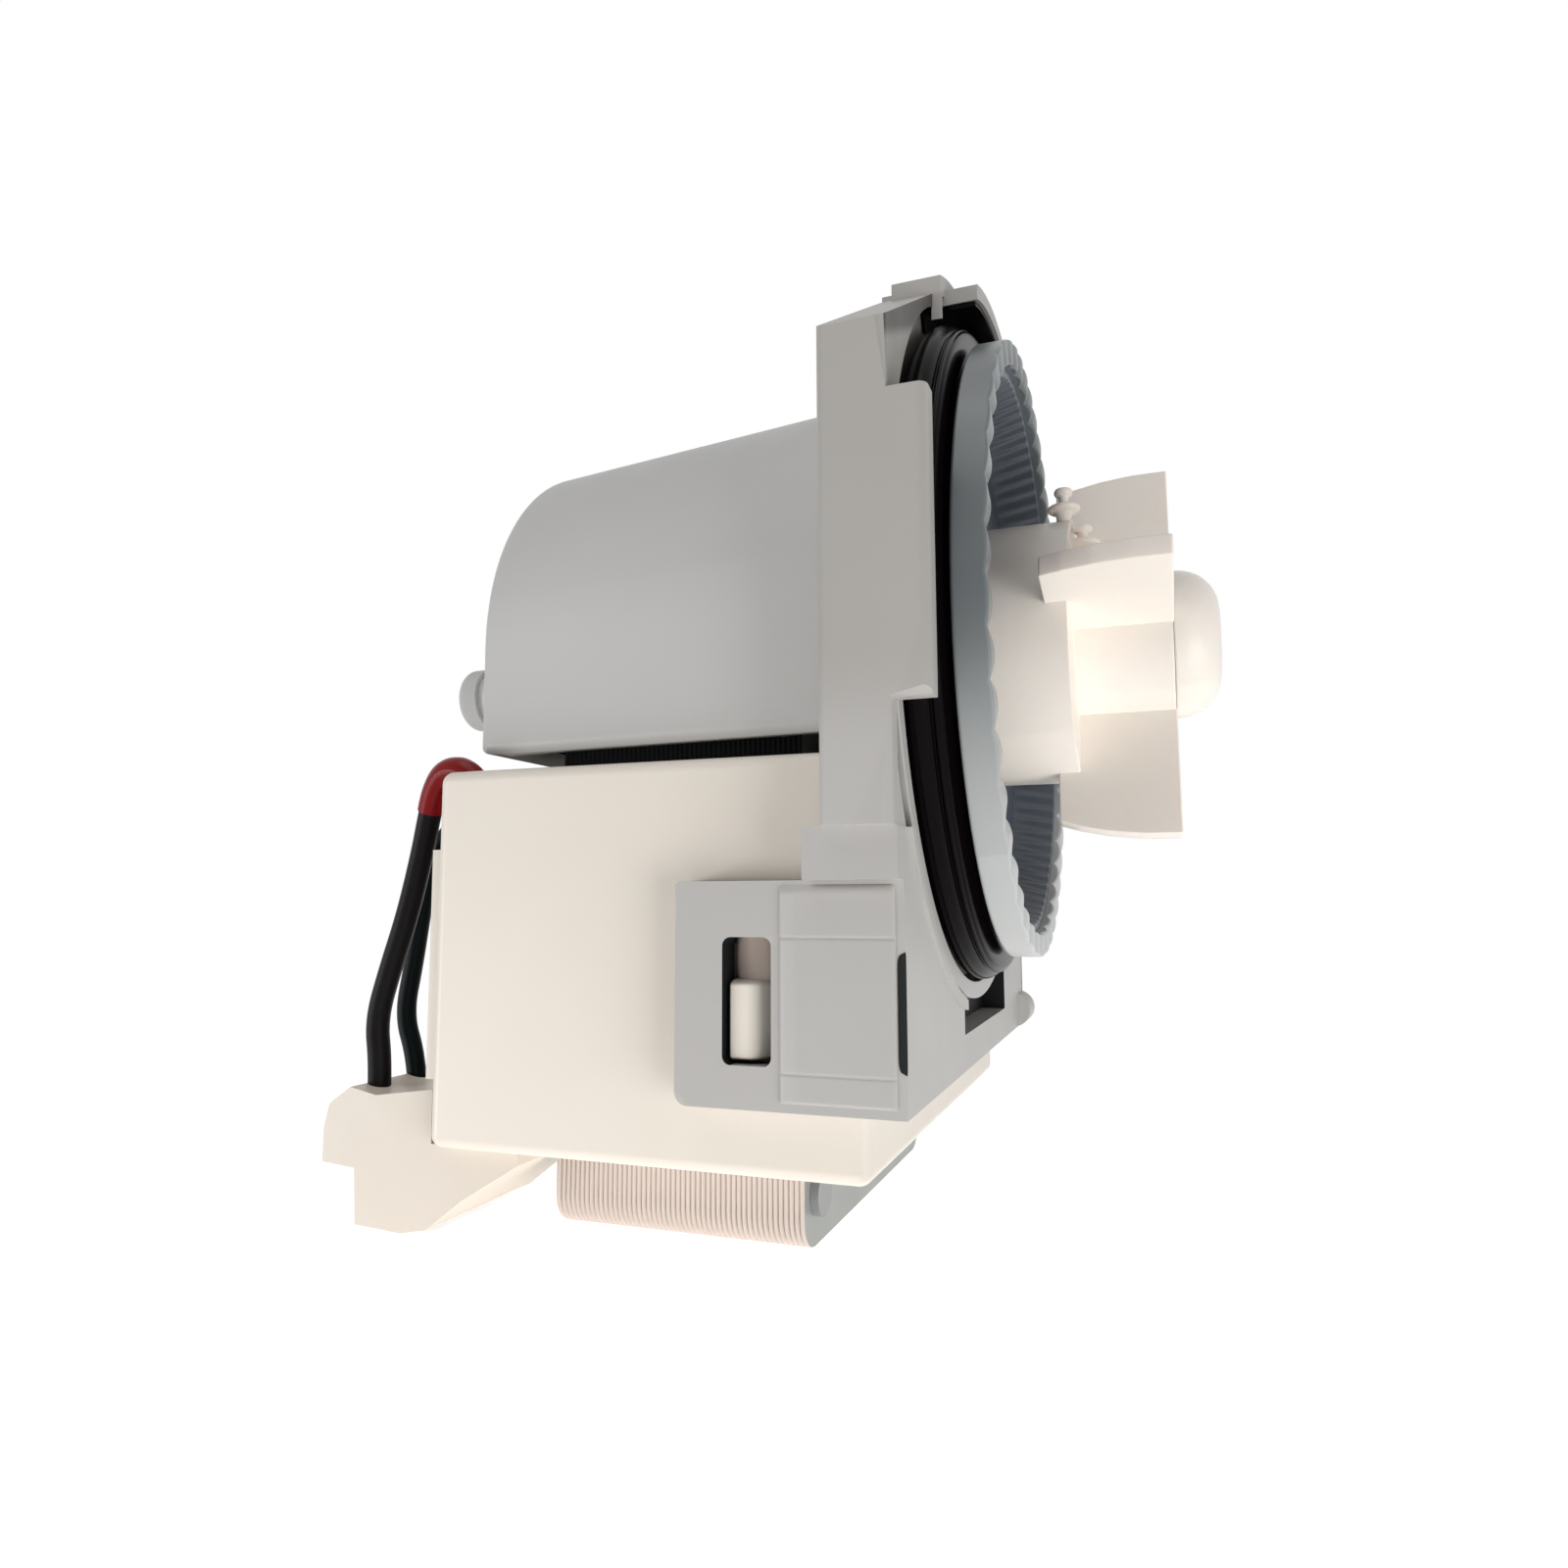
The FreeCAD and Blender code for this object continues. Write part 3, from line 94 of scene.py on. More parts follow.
def grained(name, colour, shade, roughness, grain_mm, grain_depth_mm, recess=None, recess_mm=5.0, coat=0.0,
            subsurface=0.0, ior=1.49):
    """Opaque grained surface, moulded, cut or ground: colour with slow clouds of a second shade, 14 mm
    across, fine grain as bump, and gloss that varies over patches of 4 mm. recess is a painted shade: the colour
    that hollows narrower than recess_mm sink to, by ambient occlusion."""
    cloud_mm, patch_mm = 14, 4
    material, tree = new_tree(name)
    place = add(tree, "ShaderNodeTexCoord").outputs["Object"]
    clouds = add(tree, "ShaderNodeTexNoise", {"Scale": 1000 / cloud_mm, "Detail": 2.0}, {"Vector": place})
    tint = add(tree, "ShaderNodeMix", {"data_type": "RGBA", 6: linear(colour), 7: linear(shade)},
               {0: clouds.outputs["Fac"]}).outputs[2]
    if recess:
        hollow = add(tree, "ShaderNodeAmbientOcclusion", {"samples": 8, "Distance": recess_mm / 1000})
        depth = add(tree, "ShaderNodeMapRange", {"From Min": 0.08, "From Max": 0.5}, {"Value": hollow.outputs["AO"]})
        tint = add(tree, "ShaderNodeMix", {"data_type": "RGBA", 6: linear(recess)},
                   {0: depth.outputs[0], 7: tint}).outputs[2]
    patches = add(tree, "ShaderNodeTexNoise", {"Scale": 1000 / patch_mm, "Detail": 1.0}, {"Vector": place})
    gloss = add(tree, "ShaderNodeMapRange", {"To Min": roughness - 0.05, "To Max": roughness + 0.06},
                {"Value": patches.outputs["Fac"]})
    grain = add(tree, "ShaderNodeTexNoise", {"Scale": 1000 / grain_mm, "Detail": 2.0}, {"Vector": place})
    bump = add(tree, "ShaderNodeBump", {"Strength": 0.6, "Distance": grain_depth_mm / 1000},
               {"Height": grain.outputs["Fac"]})
    shader = add(tree, "ShaderNodeBsdfPrincipled", {
        "IOR": ior, "Coat Weight": coat, "Subsurface Weight": subsurface, "Subsurface Scale": 0.001,
    }, {"Base Color": tint, "Roughness": gloss.outputs[0], "Normal": bump.outputs[0]})
    add(tree, "ShaderNodeOutputMaterial", wires={"Surface": shader.outputs[0]})
    return material


def fit_out(piece, material, body, slot, *stands_for):
    """Material, body and the CAD nodes that the piece stands for; slot is not used."""
    piece.data.materials.clear()
    piece.data.materials.append(material)
    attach(piece, body)
    if stands_for:
        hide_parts(*stands_for)


def softened(name, node, width_mm, change):
    """Copy of a CAD node with its triangles joined, changed while it is open, and its edges broken by a
    bevel."""
    mesh = cad[node].data.copy()
    work = bmesh.new()
    work.from_mesh(mesh)
    bmesh.ops.remove_doubles(work, verts=work.verts, dist=1e-6)
    bmesh.ops.dissolve_limit(work, angle_limit=math.radians(0.6), verts=work.verts, edges=work.edges)
    change(work)
    work.to_mesh(mesh)
    work.free()
    mesh.shade_smooth()
    piece = bpy.data.objects.new(name, mesh)
    bpy.context.scene.collection.objects.link(piece)
    bevel = piece.modifiers.new("broken edges", "BEVEL")
    bevel.width = width_mm / 1000
    bevel.segments = 3
    bevel.limit_method = "ANGLE"
    bevel.angle_limit = math.radians(32)
    flat = piece.modifiers.new("flat faces", "WEIGHTED_NORMAL")
    flat.weight = 100
    return piece


def at(value, *places):
    """Whether a size in millimetres is at one of the places, within a hundredth."""
    return min(abs(value - place) for place in places) < 0.01


def round_edges(work, amount, segments, picked):
    """Bevel the edges of which both ends pass a test of X, Y and Z in millimetres."""
    edges = [edge for edge in work.edges if all(picked(*(vertex.co * 1000)) for vertex in edge.verts)]
    bmesh.ops.bevel(work, geom=edges, offset=amount / 1000, segments=segments, profile=0.5, affect="EDGES")


def tuck_and_round(work):
    """Draw the rim back under its toothed ring and the side blocks to the depth that is seen, chamfer the
    blocks' lower edges, and round the flange's upright edges, the rear corners of each clip and the
    corners of its window."""
    for vertex in work.verts:
        x, y, z = vertex.co
        radius = math.hypot(y, z)
        if x * 1000 > rim_back_in_cad and rim_radii_in_cad[0] < radius * 1000 < rim_radii_in_cad[1]:
            share = min(max(radius, tucked_radii[0] / 1000), tucked_radii[1] / 1000) / radius
            vertex.co = (min(x, tucked_front / 1000), y * share, z * share)
        elif (at(x * 1000, block_front_in_cad) and abs(y * 1000) > block_inner
              and block_span[0] < z * 1000 < block_span[1]):
            vertex.co.x = block_front / 1000
    round_edges(work, block_round, 1, lambda x, y, z: at(abs(y), block_side) and at(z, block_low))
    for place in (flange_back, flange_front, block_front):
        round_edges(work, block_round, 5, lambda x, y, z: at(x, place) and at(abs(y), block_side))
    for level, amount in clip_corners:
        round_edges(work, amount, 6, lambda x, y, z: at(x, clip_rear) and at(z, level))
    window = [edge for edge in work.edges if all(
        at(vertex.co.x * 1000, window_back, window_front) and at(vertex.co.z * 1000, window_low, window_high)
        and abs(vertex.co.y * 1000) > clip_inner for vertex in edge.verts)
        and abs(edge.verts[0].co.y - edge.verts[1].co.y) > 0.0003]
    bmesh.ops.bevel(work, geom=window, offset=window_round / 1000, segments=5, profile=0.5, affect="EDGES")


def shaded_above(material, low_mm, high_mm, colour, slope=0.0):
    """Painted shade: multiply a material's colour by another one above a height, over a soft step between two heights.
    slope tilts that line down to both sides: it counts the distance from the middle plane as height."""
    tree = material.node_tree
    shader = next(node for node in tree.nodes if node.type == "BSDF_PRINCIPLED")
    plain = shader.inputs["Base Color"].links[0].from_socket
    place = add(tree, "ShaderNodeTexCoord").outputs["Object"]
    split = add(tree, "ShaderNodeSeparateXYZ", wires={"Vector": place})
    side = add(tree, "ShaderNodeMath", {"operation": "ABSOLUTE"}, {0: split.outputs["Y"]}).outputs[0]
    height = add(tree, "ShaderNodeMath", {"operation": "MULTIPLY_ADD", 1: slope},
                 {0: side, 2: split.outputs["Z"]}).outputs[0]
    share = add(tree, "ShaderNodeMapRange", {"From Min": low_mm / 1000, "From Max": high_mm / 1000,
                                             "interpolation_type": "SMOOTHSTEP"}, {"Value": height})
    mixed = add(tree, "ShaderNodeMix", {"data_type": "RGBA", "blend_type": "MULTIPLY", 7: linear(colour)},
                {0: share.outputs[0], 6: plain})
    tree.links.new(mixed.outputs[2], shader.inputs["Base Color"])


# Grey polypropylene, as it leaves the mould: light, matt and even, with painted shade: a little darker above
# the pump's axis, and dark in its narrow recesses.
grey_polypropylene = grained("moulded grey polypropylene", "BCBAB7", "B6B3B0", 0.46, 0.35, 0.012,
                             recess="2A2829", recess_mm=2.6)
shaded_above(grey_polypropylene, -15.0, -6.0, "EFEEEC")
# The same plastic as near black painted shade, for places where hardly any light gets in.
painted_shade = grained("near black painted shade", "0C0F10", "121516", 0.62, 0.35, 0.012, ior=1.3)
# The same plastic in the corner beside the hood, with painted shade: browner, darker towards the hood and in its
# recesses.
corner_shaded_grey = grained("polypropylene beside the hood", "94918B", "85827B", 0.46, 0.35, 0.012, recess="1D1A18",
                      recess_mm=6.0)
shaded_above(corner_shaded_grey, 38.2, 39.6, "665A5D", slope=0.567)
housing = softened("housing_body", "pump_housing", housing_edge, tuck_and_round)
fit_out(housing, grey_polypropylene, "motor_body", "housing_grey", "pump_housing")
housing.data.materials.append(painted_shade)
housing.data.materials.append(corner_shaded_grey)
# Painted shade: faces in the base's pocket and on the walls of the clips' windows take the near black, and the
# flange's front face beside the hood takes the shaded corner grey.
for face in housing.data.polygons:
    x, y, z = face.center * 1000
    in_pocket = all(low < place < high for place, (low, high) in zip((x, y, z), pocket_spans))
    in_window = (clip_inner + 0.9 < abs(y) < clip_face and window_low - 0.05 < z < window_high + 0.05
                 and window_wall[0] < abs(x - window_middle) < window_wall[1] and abs(face.normal.y) < 0.5)
    if in_pocket or in_window:
        face.material_index = 1
    elif abs(x - flange_front) < 0.05 and face.normal.x > 0.9 and z > corner_low:
        face.material_index = 2

# Clip pads and slots. The front half of each side clip is moulded a third of a millimetre proud of the rest,
# with two fine seams across it, level with the top and the bottom of the window. At the clip's front corner a
# near black strip paints the shade in the mouth of a narrow slot.
pad_back, pad_front, pad_low, pad_high, pad_rise, pad_sunk = -16.5, -7.0, -41.3, -24.3, 0.36, 0.03
pad_side_round, pad_end_round, seam_levels, seam_depth, seam_width = 0.8, 0.35, (-28.5, -39.0), 0.07, 0.12
slot_low, slot_high, slot_x, slot_y, slot_wide, slot_return = -38.7, -29.5, -6.26, 33.04, 0.66, 0.3


def mesh_piece(name, points, faces):
    """Smooth shaded object of points in millimetres."""
    mesh = bpy.data.meshes.new(name)
    mesh.from_pydata(np.asarray(points, float).reshape(-1, 3) * 0.001, [], faces)
    mesh.update()
    mesh.shade_smooth()
    piece = bpy.data.objects.new(name, mesh)
    bpy.context.scene.collection.objects.link(piece)
    return piece


def grid_faces(rows, columns, close_rows=False, close_columns=False):
    """Quads of a grid of rows by columns points, which may close on itself either way."""
    i, j = np.meshgrid(np.arange(rows if close_rows else rows - 1),
                       np.arange(columns if close_columns else columns - 1), indexing="ij")
    i, j = i.ravel(), j.ravel()
    i2, j2 = (i + 1) % rows, (j + 1) % columns
    return np.stack([i * columns + j, i2 * columns + j, i2 * columns + j2, i * columns + j2], 1).tolist()


def edge_fall(span, low, high, width):
    """1 inside a span, falling to 0 at its ends over a quarter circle of the given width."""
    near = np.clip(np.minimum(span - low, high - span) / width, 0, 1)
    return np.sqrt(1 - (1 - near) ** 2)


def facing(faces, outward):
    """The faces as they are where they face outward, and otherwise turned over."""
    return faces if outward else [face[::-1] for face in faces]


def clip_pad(name, side):
    """Raised pad on one clip: a height field whose edges fall off round, with a bell shaped groove at each
    seam."""
    half = pad_side_round / 2
    x = np.concatenate([np.linspace(pad_back, pad_back + half, 7),
                        np.linspace(pad_back + pad_side_round, pad_front - pad_side_round, 12),
                        np.linspace(pad_front - half, pad_front, 7)])
    z = np.sort(np.concatenate([np.linspace(pad_low, pad_high, 40), np.linspace(pad_low, pad_low + half, 6),
                                *[level + np.linspace(-0.3, 0.3, 9) for level in seam_levels]]))
    x, z = np.meshgrid(x, z, indexing="ij")
    height = pad_rise * edge_fall(x, pad_back, pad_front, pad_side_round) * edge_fall(
        z, pad_low, pad_high, pad_end_round)
    for level in seam_levels:
        height = height - seam_depth * np.exp(-((z - level) / seam_width) ** 2) * (height > 0.1)
    y = side * (clip_face - pad_sunk + height)
    return mesh_piece(name, np.stack([x, y, z], -1), facing(grid_faces(*x.shape), side < 0))


def slot_shade_strip(name, side):
    """Painted shade in the mouth of the narrow slot at the front corner of a clip: an upright strip whose section
    is a right angle round the corner, and whose width runs out at both ends by a high power of the height."""
    z = np.linspace(slot_low, slot_high, 40)
    share = np.abs(2 * (z - slot_low) / (slot_high - slot_low) - 1)
    wide = slot_wide * np.sqrt(np.clip(1 - share ** 14, 0, 1))
    x = np.stack([slot_x - wide, slot_x + 0 * z, slot_x + 0 * z], 1)
    y = side * np.stack([slot_y + 0 * z, slot_y + 0 * z, slot_y - slot_return * wide], 1)
    return mesh_piece(name, np.stack([x, y, np.repeat(z[:, None], 3, 1)], -1), facing(grid_faces(*x.shape), side > 0))


for end, side in (("near", -1), ("far", 1)):
    fit_out(clip_pad("clip_pad_" + end, side), grey_polypropylene, "motor_body", "housing_grey")
    fit_out(slot_shade_strip("clip_slot_" + end, side), painted_shade, "motor_body", "housing_grey")

# Toothed rim. The round mouth of the same moulding, 63 mm across, whose front carries rounded teeth that key
# it in the sump.
rim_radius, rim_wall, rim_bore, rim_back, rim_crest, rim_edge = 31.5, 2.3, 29.18, -2.65, 0.4, 0.7
tooth_count, tooth_depth, tooth_power, steps_per_tooth = 46, 0.62, 0.7, 16


def rounded_loop(corners, times=3):
    """Closed outline with its corners cut at a quarter of each side, times over (Chaikin's rule)."""
    loop = np.asarray(corners, float)
    for _ in range(times):
        ahead = np.roll(loop, -1, 0)
        loop = np.stack([0.75 * loop + 0.25 * ahead, 0.25 * loop + 0.75 * ahead], 1).reshape(-1, loop.shape[1])
    return loop


def edged(corners, inset):
    """Corners with a point before and after each, inset away, so that rounding stays near the corner."""
    corners = np.asarray(corners, float)
    before, after = np.roll(corners, 1, 0) - corners, np.roll(corners, -1, 0) - corners
    unit = [side / np.linalg.norm(side, axis=1, keepdims=True) for side in (before, after)]
    return np.stack([corners + inset * unit[0], corners, corners + inset * unit[1]], 1).reshape(-1, 2)


def turned(name, loop, count, shift=None):
    """Ring about the pump axis: the closed loop of X and radius goes round in count steps, and
    shift(angle, x) gives the change of X."""
    angle = np.linspace(0, 2 * np.pi, count, endpoint=False)[:, None]
    x, radius = np.asarray(loop, float).T
    place = x + (shift(angle, x) if shift else 0 * angle)
    points = np.stack([place, radius * np.sin(angle), radius * np.cos(angle)], -1)
    return mesh_piece(name, points, grid_faces(count, len(x), True, True))


def tooth_wave(angle, x):
    """Rounded teeth: between two of them the front drops by tooth_depth, over a power of a cosine of the
    angle, by less towards the outer edge and not at all at the back."""
    wave = np.abs(np.cos(tooth_count * angle / 2)) ** tooth_power
    front = np.clip((x - rim_back) / (rim_crest - rim_back), 0, 1) ** 2
    inner = np.clip((rim_radius - rim_loop[:, 1]) / rim_wall, 0, 1)
    return -tooth_depth * (1 - wave) * front * (0.3 + 0.7 * inner)


rim_loop = rounded_loop(edged([
    (rim_back, rim_bore), (rim_crest, rim_bore), (rim_crest, rim_radius), (rim_back, rim_radius)], rim_edge))
rim = turned("toothed_rim", rim_loop, tooth_count * steps_per_tooth, tooth_wave)
# The same polypropylene, cooler and silkier, with painted shade: a good deal darker above, and dark in its recesses.
rim_polypropylene = grained("moulded blue-grey polypropylene", "C1C3C3", "BABDBD", 0.34, 0.35, 0.010,
                            recess="17191B", recess_mm=3.0)
shaded_above(rim_polypropylene, -22.0, 0.0, "8E9497")
fit_out(rim, rim_polypropylene, "motor_body", "housing_grey")

# Front shield, the dark dish behind the impeller, whose rippled skirt lines the rim. Moulded in glass filled
# polyamide and pressed into the housing.
skirt_inner, skirt_outer, skirt_back, skirt_front, skirt_edge = 28.3, 29.35, -5.6, -0.6, 0.3
ripple_count, ripple_depth, steps_per_ripple = 92, 0.12, 8


def dress(node, material):
    """Give a carried-over CAD node its material."""
    piece = cad[node]
    piece.data.materials.clear()
    piece.data.materials.append(material)


# Dark polyamide: blue-grey and smooth, with a faint gloss.
dish_polyamide = grained("moulded dark polyamide", "4A525C", "3F464F", 0.34, 0.5, 0.006)
dress("front_shield", dish_polyamide)


def rippled(name, loop, count):
    """Ring turned about the pump axis whose inner side waves: radius less a cosine of the angle, by
    less towards its back."""
    angle = np.linspace(0, 2 * np.pi, count, endpoint=False)[:, None]
    x, radius = np.asarray(loop, float).T
    inner = np.clip((skirt_outer - skirt_edge - radius) / 0.6, 0, 1) * np.clip((x - skirt_back) / 3, 0, 1)
    size = radius - ripple_depth * inner * np.cos(ripple_count * angle)
    points = np.stack([x + 0 * angle, size * np.sin(angle), size * np.cos(angle)], -1)
    return mesh_piece(name, points, grid_faces(count, len(x), True, True))


skirt_loop = rounded_loop(edged([
    (skirt_back, 26.9), (-3.0, 27.6), (skirt_front, skirt_inner), (skirt_front, skirt_outer), (-2.4, skirt_outer),
    (skirt_back, 27.5)], skirt_edge), 2)
skirt = rippled("shield_skirt", skirt_loop, ripple_count * steps_per_ripple)
fit_out(skirt, dish_polyamide, "motor_body", "shield_dark")

# Chamber seal. A moulded nitrile rubber ring, stretched over the neck behind the rim, with one broad bead
# and two thin lips beside the rim. Its black apron lines the wall over it and paints the shade under the hood.


def rubber(name, colour, roughness, coat, ior=1.33):
    """Rubber or sleeving: one even colour whose gloss and skin vary over blooms 6 mm across, under a thin
    coat."""
    bloom_mm, skin_mm = 6, 0.02
    material, tree = new_tree(name)
    place = add(tree, "ShaderNodeTexCoord").outputs["Object"]
    bloom = add(tree, "ShaderNodeTexNoise", {"Scale": 1000 / bloom_mm, "Detail": 3.0}, {"Vector": place})
    gloss = add(tree, "ShaderNodeMapRange", {"To Min": roughness - 0.04, "To Max": roughness + 0.06},
                {"Value": bloom.outputs["Fac"]})
    skin = add(tree, "ShaderNodeBump", {"Strength": 0.5, "Distance": skin_mm / 1000}, {"Height": bloom.outputs["Fac"]})
    shader = add(tree, "ShaderNodeBsdfPrincipled", {
        "Base Color": linear(colour), "IOR": ior, "Specular IOR Level": 0.2, "Coat Weight": coat,
        "Coat Roughness": 0.12,
    }, {"Roughness": gloss.outputs[0], "Normal": skin.outputs[0]})
    add(tree, "ShaderNodeOutputMaterial", wires={"Surface": shader.outputs[0]})
    return material


# Nitrile rubber: black and wet looking, with narrow, faint streaks of light along its lips.
nitrile = rubber("moulded nitrile rubber", "0A0708", 0.20, 0.06, ior=1.13)
seal_loop = rounded_loop([
    (-7.0, 29.86), (-7.05, 32.2), (-6.8, 33.1), (-6.2, 33.7), (-5.5, 33.85), (-4.8, 33.65), (-4.42, 33.2),
    (-4.34, 32.95), (-4.2, 32.95), (-4.12, 33.1), (-3.86, 33.1), (-3.78, 32.85), (-3.66, 32.8), (-3.52, 32.7),
    (-3.4, 32.3), (-3.3, 30.9), (-2.75, 30.6), (-2.75, 29.86)], 3)
seal = turned("rubber_seal", seal_loop[::-1], 240)
fit_out(seal, nitrile, "motor_body", "seal_rubber", "chamber_seal")


def arched_strip(name, loop, start, stop, count):
    """Part of a ring: the closed loop of X and radius goes about the pump axis from one angle to another,
    in degrees from the top, and a flat face closes each end."""
    angle = np.radians(np.linspace(start, stop, count))[:, None]
    x, radius = np.asarray(loop, float).T
    points = np.stack([x + 0 * angle, radius * np.sin(angle), radius * np.cos(angle)], -1)
    size = len(x)
    faces = grid_faces(count, size, False, True)
    faces += [list(range(size)), list(range((count - 1) * size, count * size))[::-1]]
    piece = mesh_piece(name, points, faces)
    for face in piece.data.polygons[-2:]:
        face.use_smooth = False
    return piece


# The apron: black rubber that paints the shade under the hood.
apron_reach = 24.3
apron_loop = rounded_loop(edged([
    (-8.16, 33.6), (-8.16, 35.5), (-2.75, 35.5), (-2.75, 35.15), (-7.8, 35.15), (-7.8, 33.6)], 0.1), 2)
apron = arched_strip("seal_apron_shade", apron_loop[::-1], -apron_reach, apron_reach, 60)
fit_out(apron, nitrile, "motor_body", "seal_rubber")

# Seal ledge. Part of the grey housing: a shelf round the sides and the bottom of the seal, level with the
# flange, that keeps the rubber in its place.
ledge_start, ledge_stop = 78, 282
ledge_loop = rounded_loop(edged([(-8.3, 34.05), (-6.25, 34.05), (-6.25, 35.75), (-8.3, 35.75)], 0.3), 2)
ledge = arched_strip("seal_ledge", ledge_loop, ledge_start, ledge_stop, 150)
fit_out(ledge, grey_polypropylene, "motor_body", "housing_grey")

# Stator cover. A thin arch in the same grey plastic, tapered for the mould, with a soft rear edge and a
# hole for the rear bearing seat. It snaps over the rotor's tunnel behind the flange.
cover_front, cover_rear, cover_radius_front, cover_radius_rear = -12.25, -51.5, 27.9, 25.0
cover_bottom, cover_edge, cover_hole, cover_wall, cover_heel = -11.2, 1.3, 8.9, 1.7, 1.9
run_rows, edge_rows, inward_rows, side_steps, arc_steps, base_steps = 24, 8, 7, 10, 72, 36


def arch_path(radius, bottom):
    """Closed section of the arch: up one side, over the half circle, down the other and along the base."""
    side = np.linspace(bottom, 0, side_steps, endpoint=False)
    arc = np.linspace(np.pi, 0, arc_steps, endpoint=False)
    base = np.linspace(radius, -radius, base_steps, endpoint=False)
    y = np.concatenate([np.full(side_steps, -radius), radius * np.cos(arc), np.full(side_steps, radius), base])
    z = np.concatenate([side, radius * np.sin(arc), side[::-1] - side[0] + bottom, np.full(base_steps, bottom)])
    return np.stack([y, z], 1)


def cover_rows():
    """Sections of the cover from the front to the rear edge, round a quarter circle, then in to the hole.
    Each is the arch, drawn towards the hole's circle by the share it has gone, and its lower edge lifts
    over a quarter circle at the rear."""
    run, inward = np.linspace(0, 1, run_rows), np.linspace(0, 1, inward_rows + 1)[1:]
    bend = np.linspace(0, np.pi / 2, edge_rows + 1)[1:]
    x = np.concatenate([cover_front + (cover_rear + cover_edge - cover_front) * run,
                        cover_rear + cover_edge * (1 - np.sin(bend)), np.full(inward_rows, cover_rear)])
    drop = np.concatenate([0 * run, cover_edge * (1 - np.cos(bend)), np.full(inward_rows, cover_edge)])
    taper = (x - cover_front) / (cover_rear - cover_front)
    radius = cover_radius_front + (cover_radius_rear - cover_radius_front) * taper - drop
    share = np.concatenate([0 * run, 0 * bend, inward])
    heel = np.clip((cover_rear + cover_heel - x) / cover_heel, 0, 1)
    bottom = cover_bottom + cover_heel * (1 - np.sqrt(1 - heel ** 2))
    rows = []
    for place, size, gone, low in zip(x, radius, share, bottom):
        section = arch_path(size, low)
        turn = np.arctan2(section[:, 1], section[:, 0])
        hole = cover_hole * np.stack([np.cos(turn), np.sin(turn)], 1)
        rows.append(np.column_stack([np.full(len(section), place), section * (1 - gone) + hole * gone]))
    return np.array(rows)


cover_points = cover_rows()
around = cover_points.shape[1]
open_below = [face for face in grid_faces(*cover_points.shape[:2], False, True)
              if face[0] // around >= run_rows - 1 or face[0] % around < 2 * side_steps + arc_steps]
cover = mesh_piece("arched_cover", cover_points, open_below)
# Grey polypropylene of the housing's kind, a shade lighter and as matt. The wall's inner faces take the near
# black painted shade, since hardly any light gets in.
cover_polypropylene = grained("moulded light grey polypropylene", "C9C8C6", "C3C2C0", 0.48, 0.35, 0.012)
fit_out(cover, cover_polypropylene, "motor_body", "cover_grey", "stator_cover")
cover.data.materials.append(painted_shade)
cover.data.polygons.foreach_set("material_index", np.ones(len(open_below), np.int32))
wall = cover.modifiers.new("wall", "SOLIDIFY")
wall.thickness = cover_wall / 1000
wall.offset = 1
wall.material_offset = -1
wall.material_offset_rim = -1
cover.data.set_sharp_from_angle(angle=math.radians(40))

# Rotor can, which keeps the water in with the rotor. It is moulded in a paler polypropylene, and only the
# peg behind its rear bearing seat stands out of the cover, matt; its almost white is partly painted light against the
# cover's shade.
peg_polypropylene = grained("moulded pale grey polypropylene", "EBEBEA", "E4E4E3", 0.48, 0.35, 0.012)
dress("rotor_can", peg_polypropylene)

# Rear button. A rubber cap pushed on the peg of the rotor can, which quiets the pump against its bracket.
# Its grey is dull, without a highlight.
button_rubber = rubber("grey rubber", "D3D3D2", 0.55, 0.0)
dress("rear_button", button_rubber)

# Stator core. Fifty silicon steel sheets of 0.5 mm, stamped and riveted. Their cut edges catch the light
# one by one, and the flat end is duller.
core_front, core_length, sheet_count, sheet_groove, end_break = -18.3, 25.0, 50, 0.3, 0.06
core_half, core_leg, core_bend, core_bore, core_cut = 22.0, 12.6, 3.0, 15.2, 4.5
core_low, core_yoke, core_shade, core_shoulder, core_high = -56.4, -48.5, -15.0, 3.0, 14.0


def core_outline():
    """U outline in Y and Z: round lower corners, bored inner faces and cut upper corners."""
    bend = np.linspace(0, np.pi / 2, 9)
    inner = core_half - core_leg
    reach = math.asin(inner / core_bore)
    bore = np.linspace(reach, np.pi - reach, 25)
    right = np.concatenate([
        [(0, core_low)],
        np.stack([core_half - core_bend + core_bend * np.sin(bend), core_low + core_bend * (1 - np.cos(bend))], 1),
        [(core_half, core_shade), (core_half, core_shoulder), (core_half - core_cut, core_high), (inner, core_high)],
        np.stack([core_bore * np.sin(bore), core_bore * np.cos(bore)], 1),
        [(inner, core_yoke), (0, core_yoke)]])
    left = right[1:-1][::-1] * (-1, 1)
    return np.concatenate([right, left])


def inset(loop, amount):
    """Loop moved inward (for a counterclockwise loop) along the mean normals of its sides."""
    ahead = np.roll(loop, -1, 0) - loop
    ahead = ahead / np.linalg.norm(ahead, axis=1, keepdims=True)
    behind = np.roll(ahead, 1, 0)
    normal = np.stack([-(ahead + behind)[:, 1], (ahead + behind)[:, 0]], 1)
    return loop + amount * normal / np.maximum((normal ** 2).sum(1, keepdims=True) / 2, 0.5)


def prism(name, loop, levels, place):
    """Solid of one outline at several levels, each a height and an inset. place turns arrays of the two
    outline coordinates and the height into X, Y and Z."""
    rings = [np.column_stack([inset(loop, amount), np.full(len(loop), height)]) for height, amount in levels]
    points = np.array(rings)
    across, up, height = points[..., 0], points[..., 1], points[..., 2]
    size = len(loop)
    faces = grid_faces(len(levels), size, False, True)
    faces = [face[::-1] for face in faces]
    last = (len(levels) - 1) * size
    faces += [list(range(size))[::-1], list(range(last, last + size))]
    piece = mesh_piece(name, np.stack(place(across, up, height), -1), faces)
    for face in piece.data.polygons[-2:]:
        face.use_smooth = False
    return piece


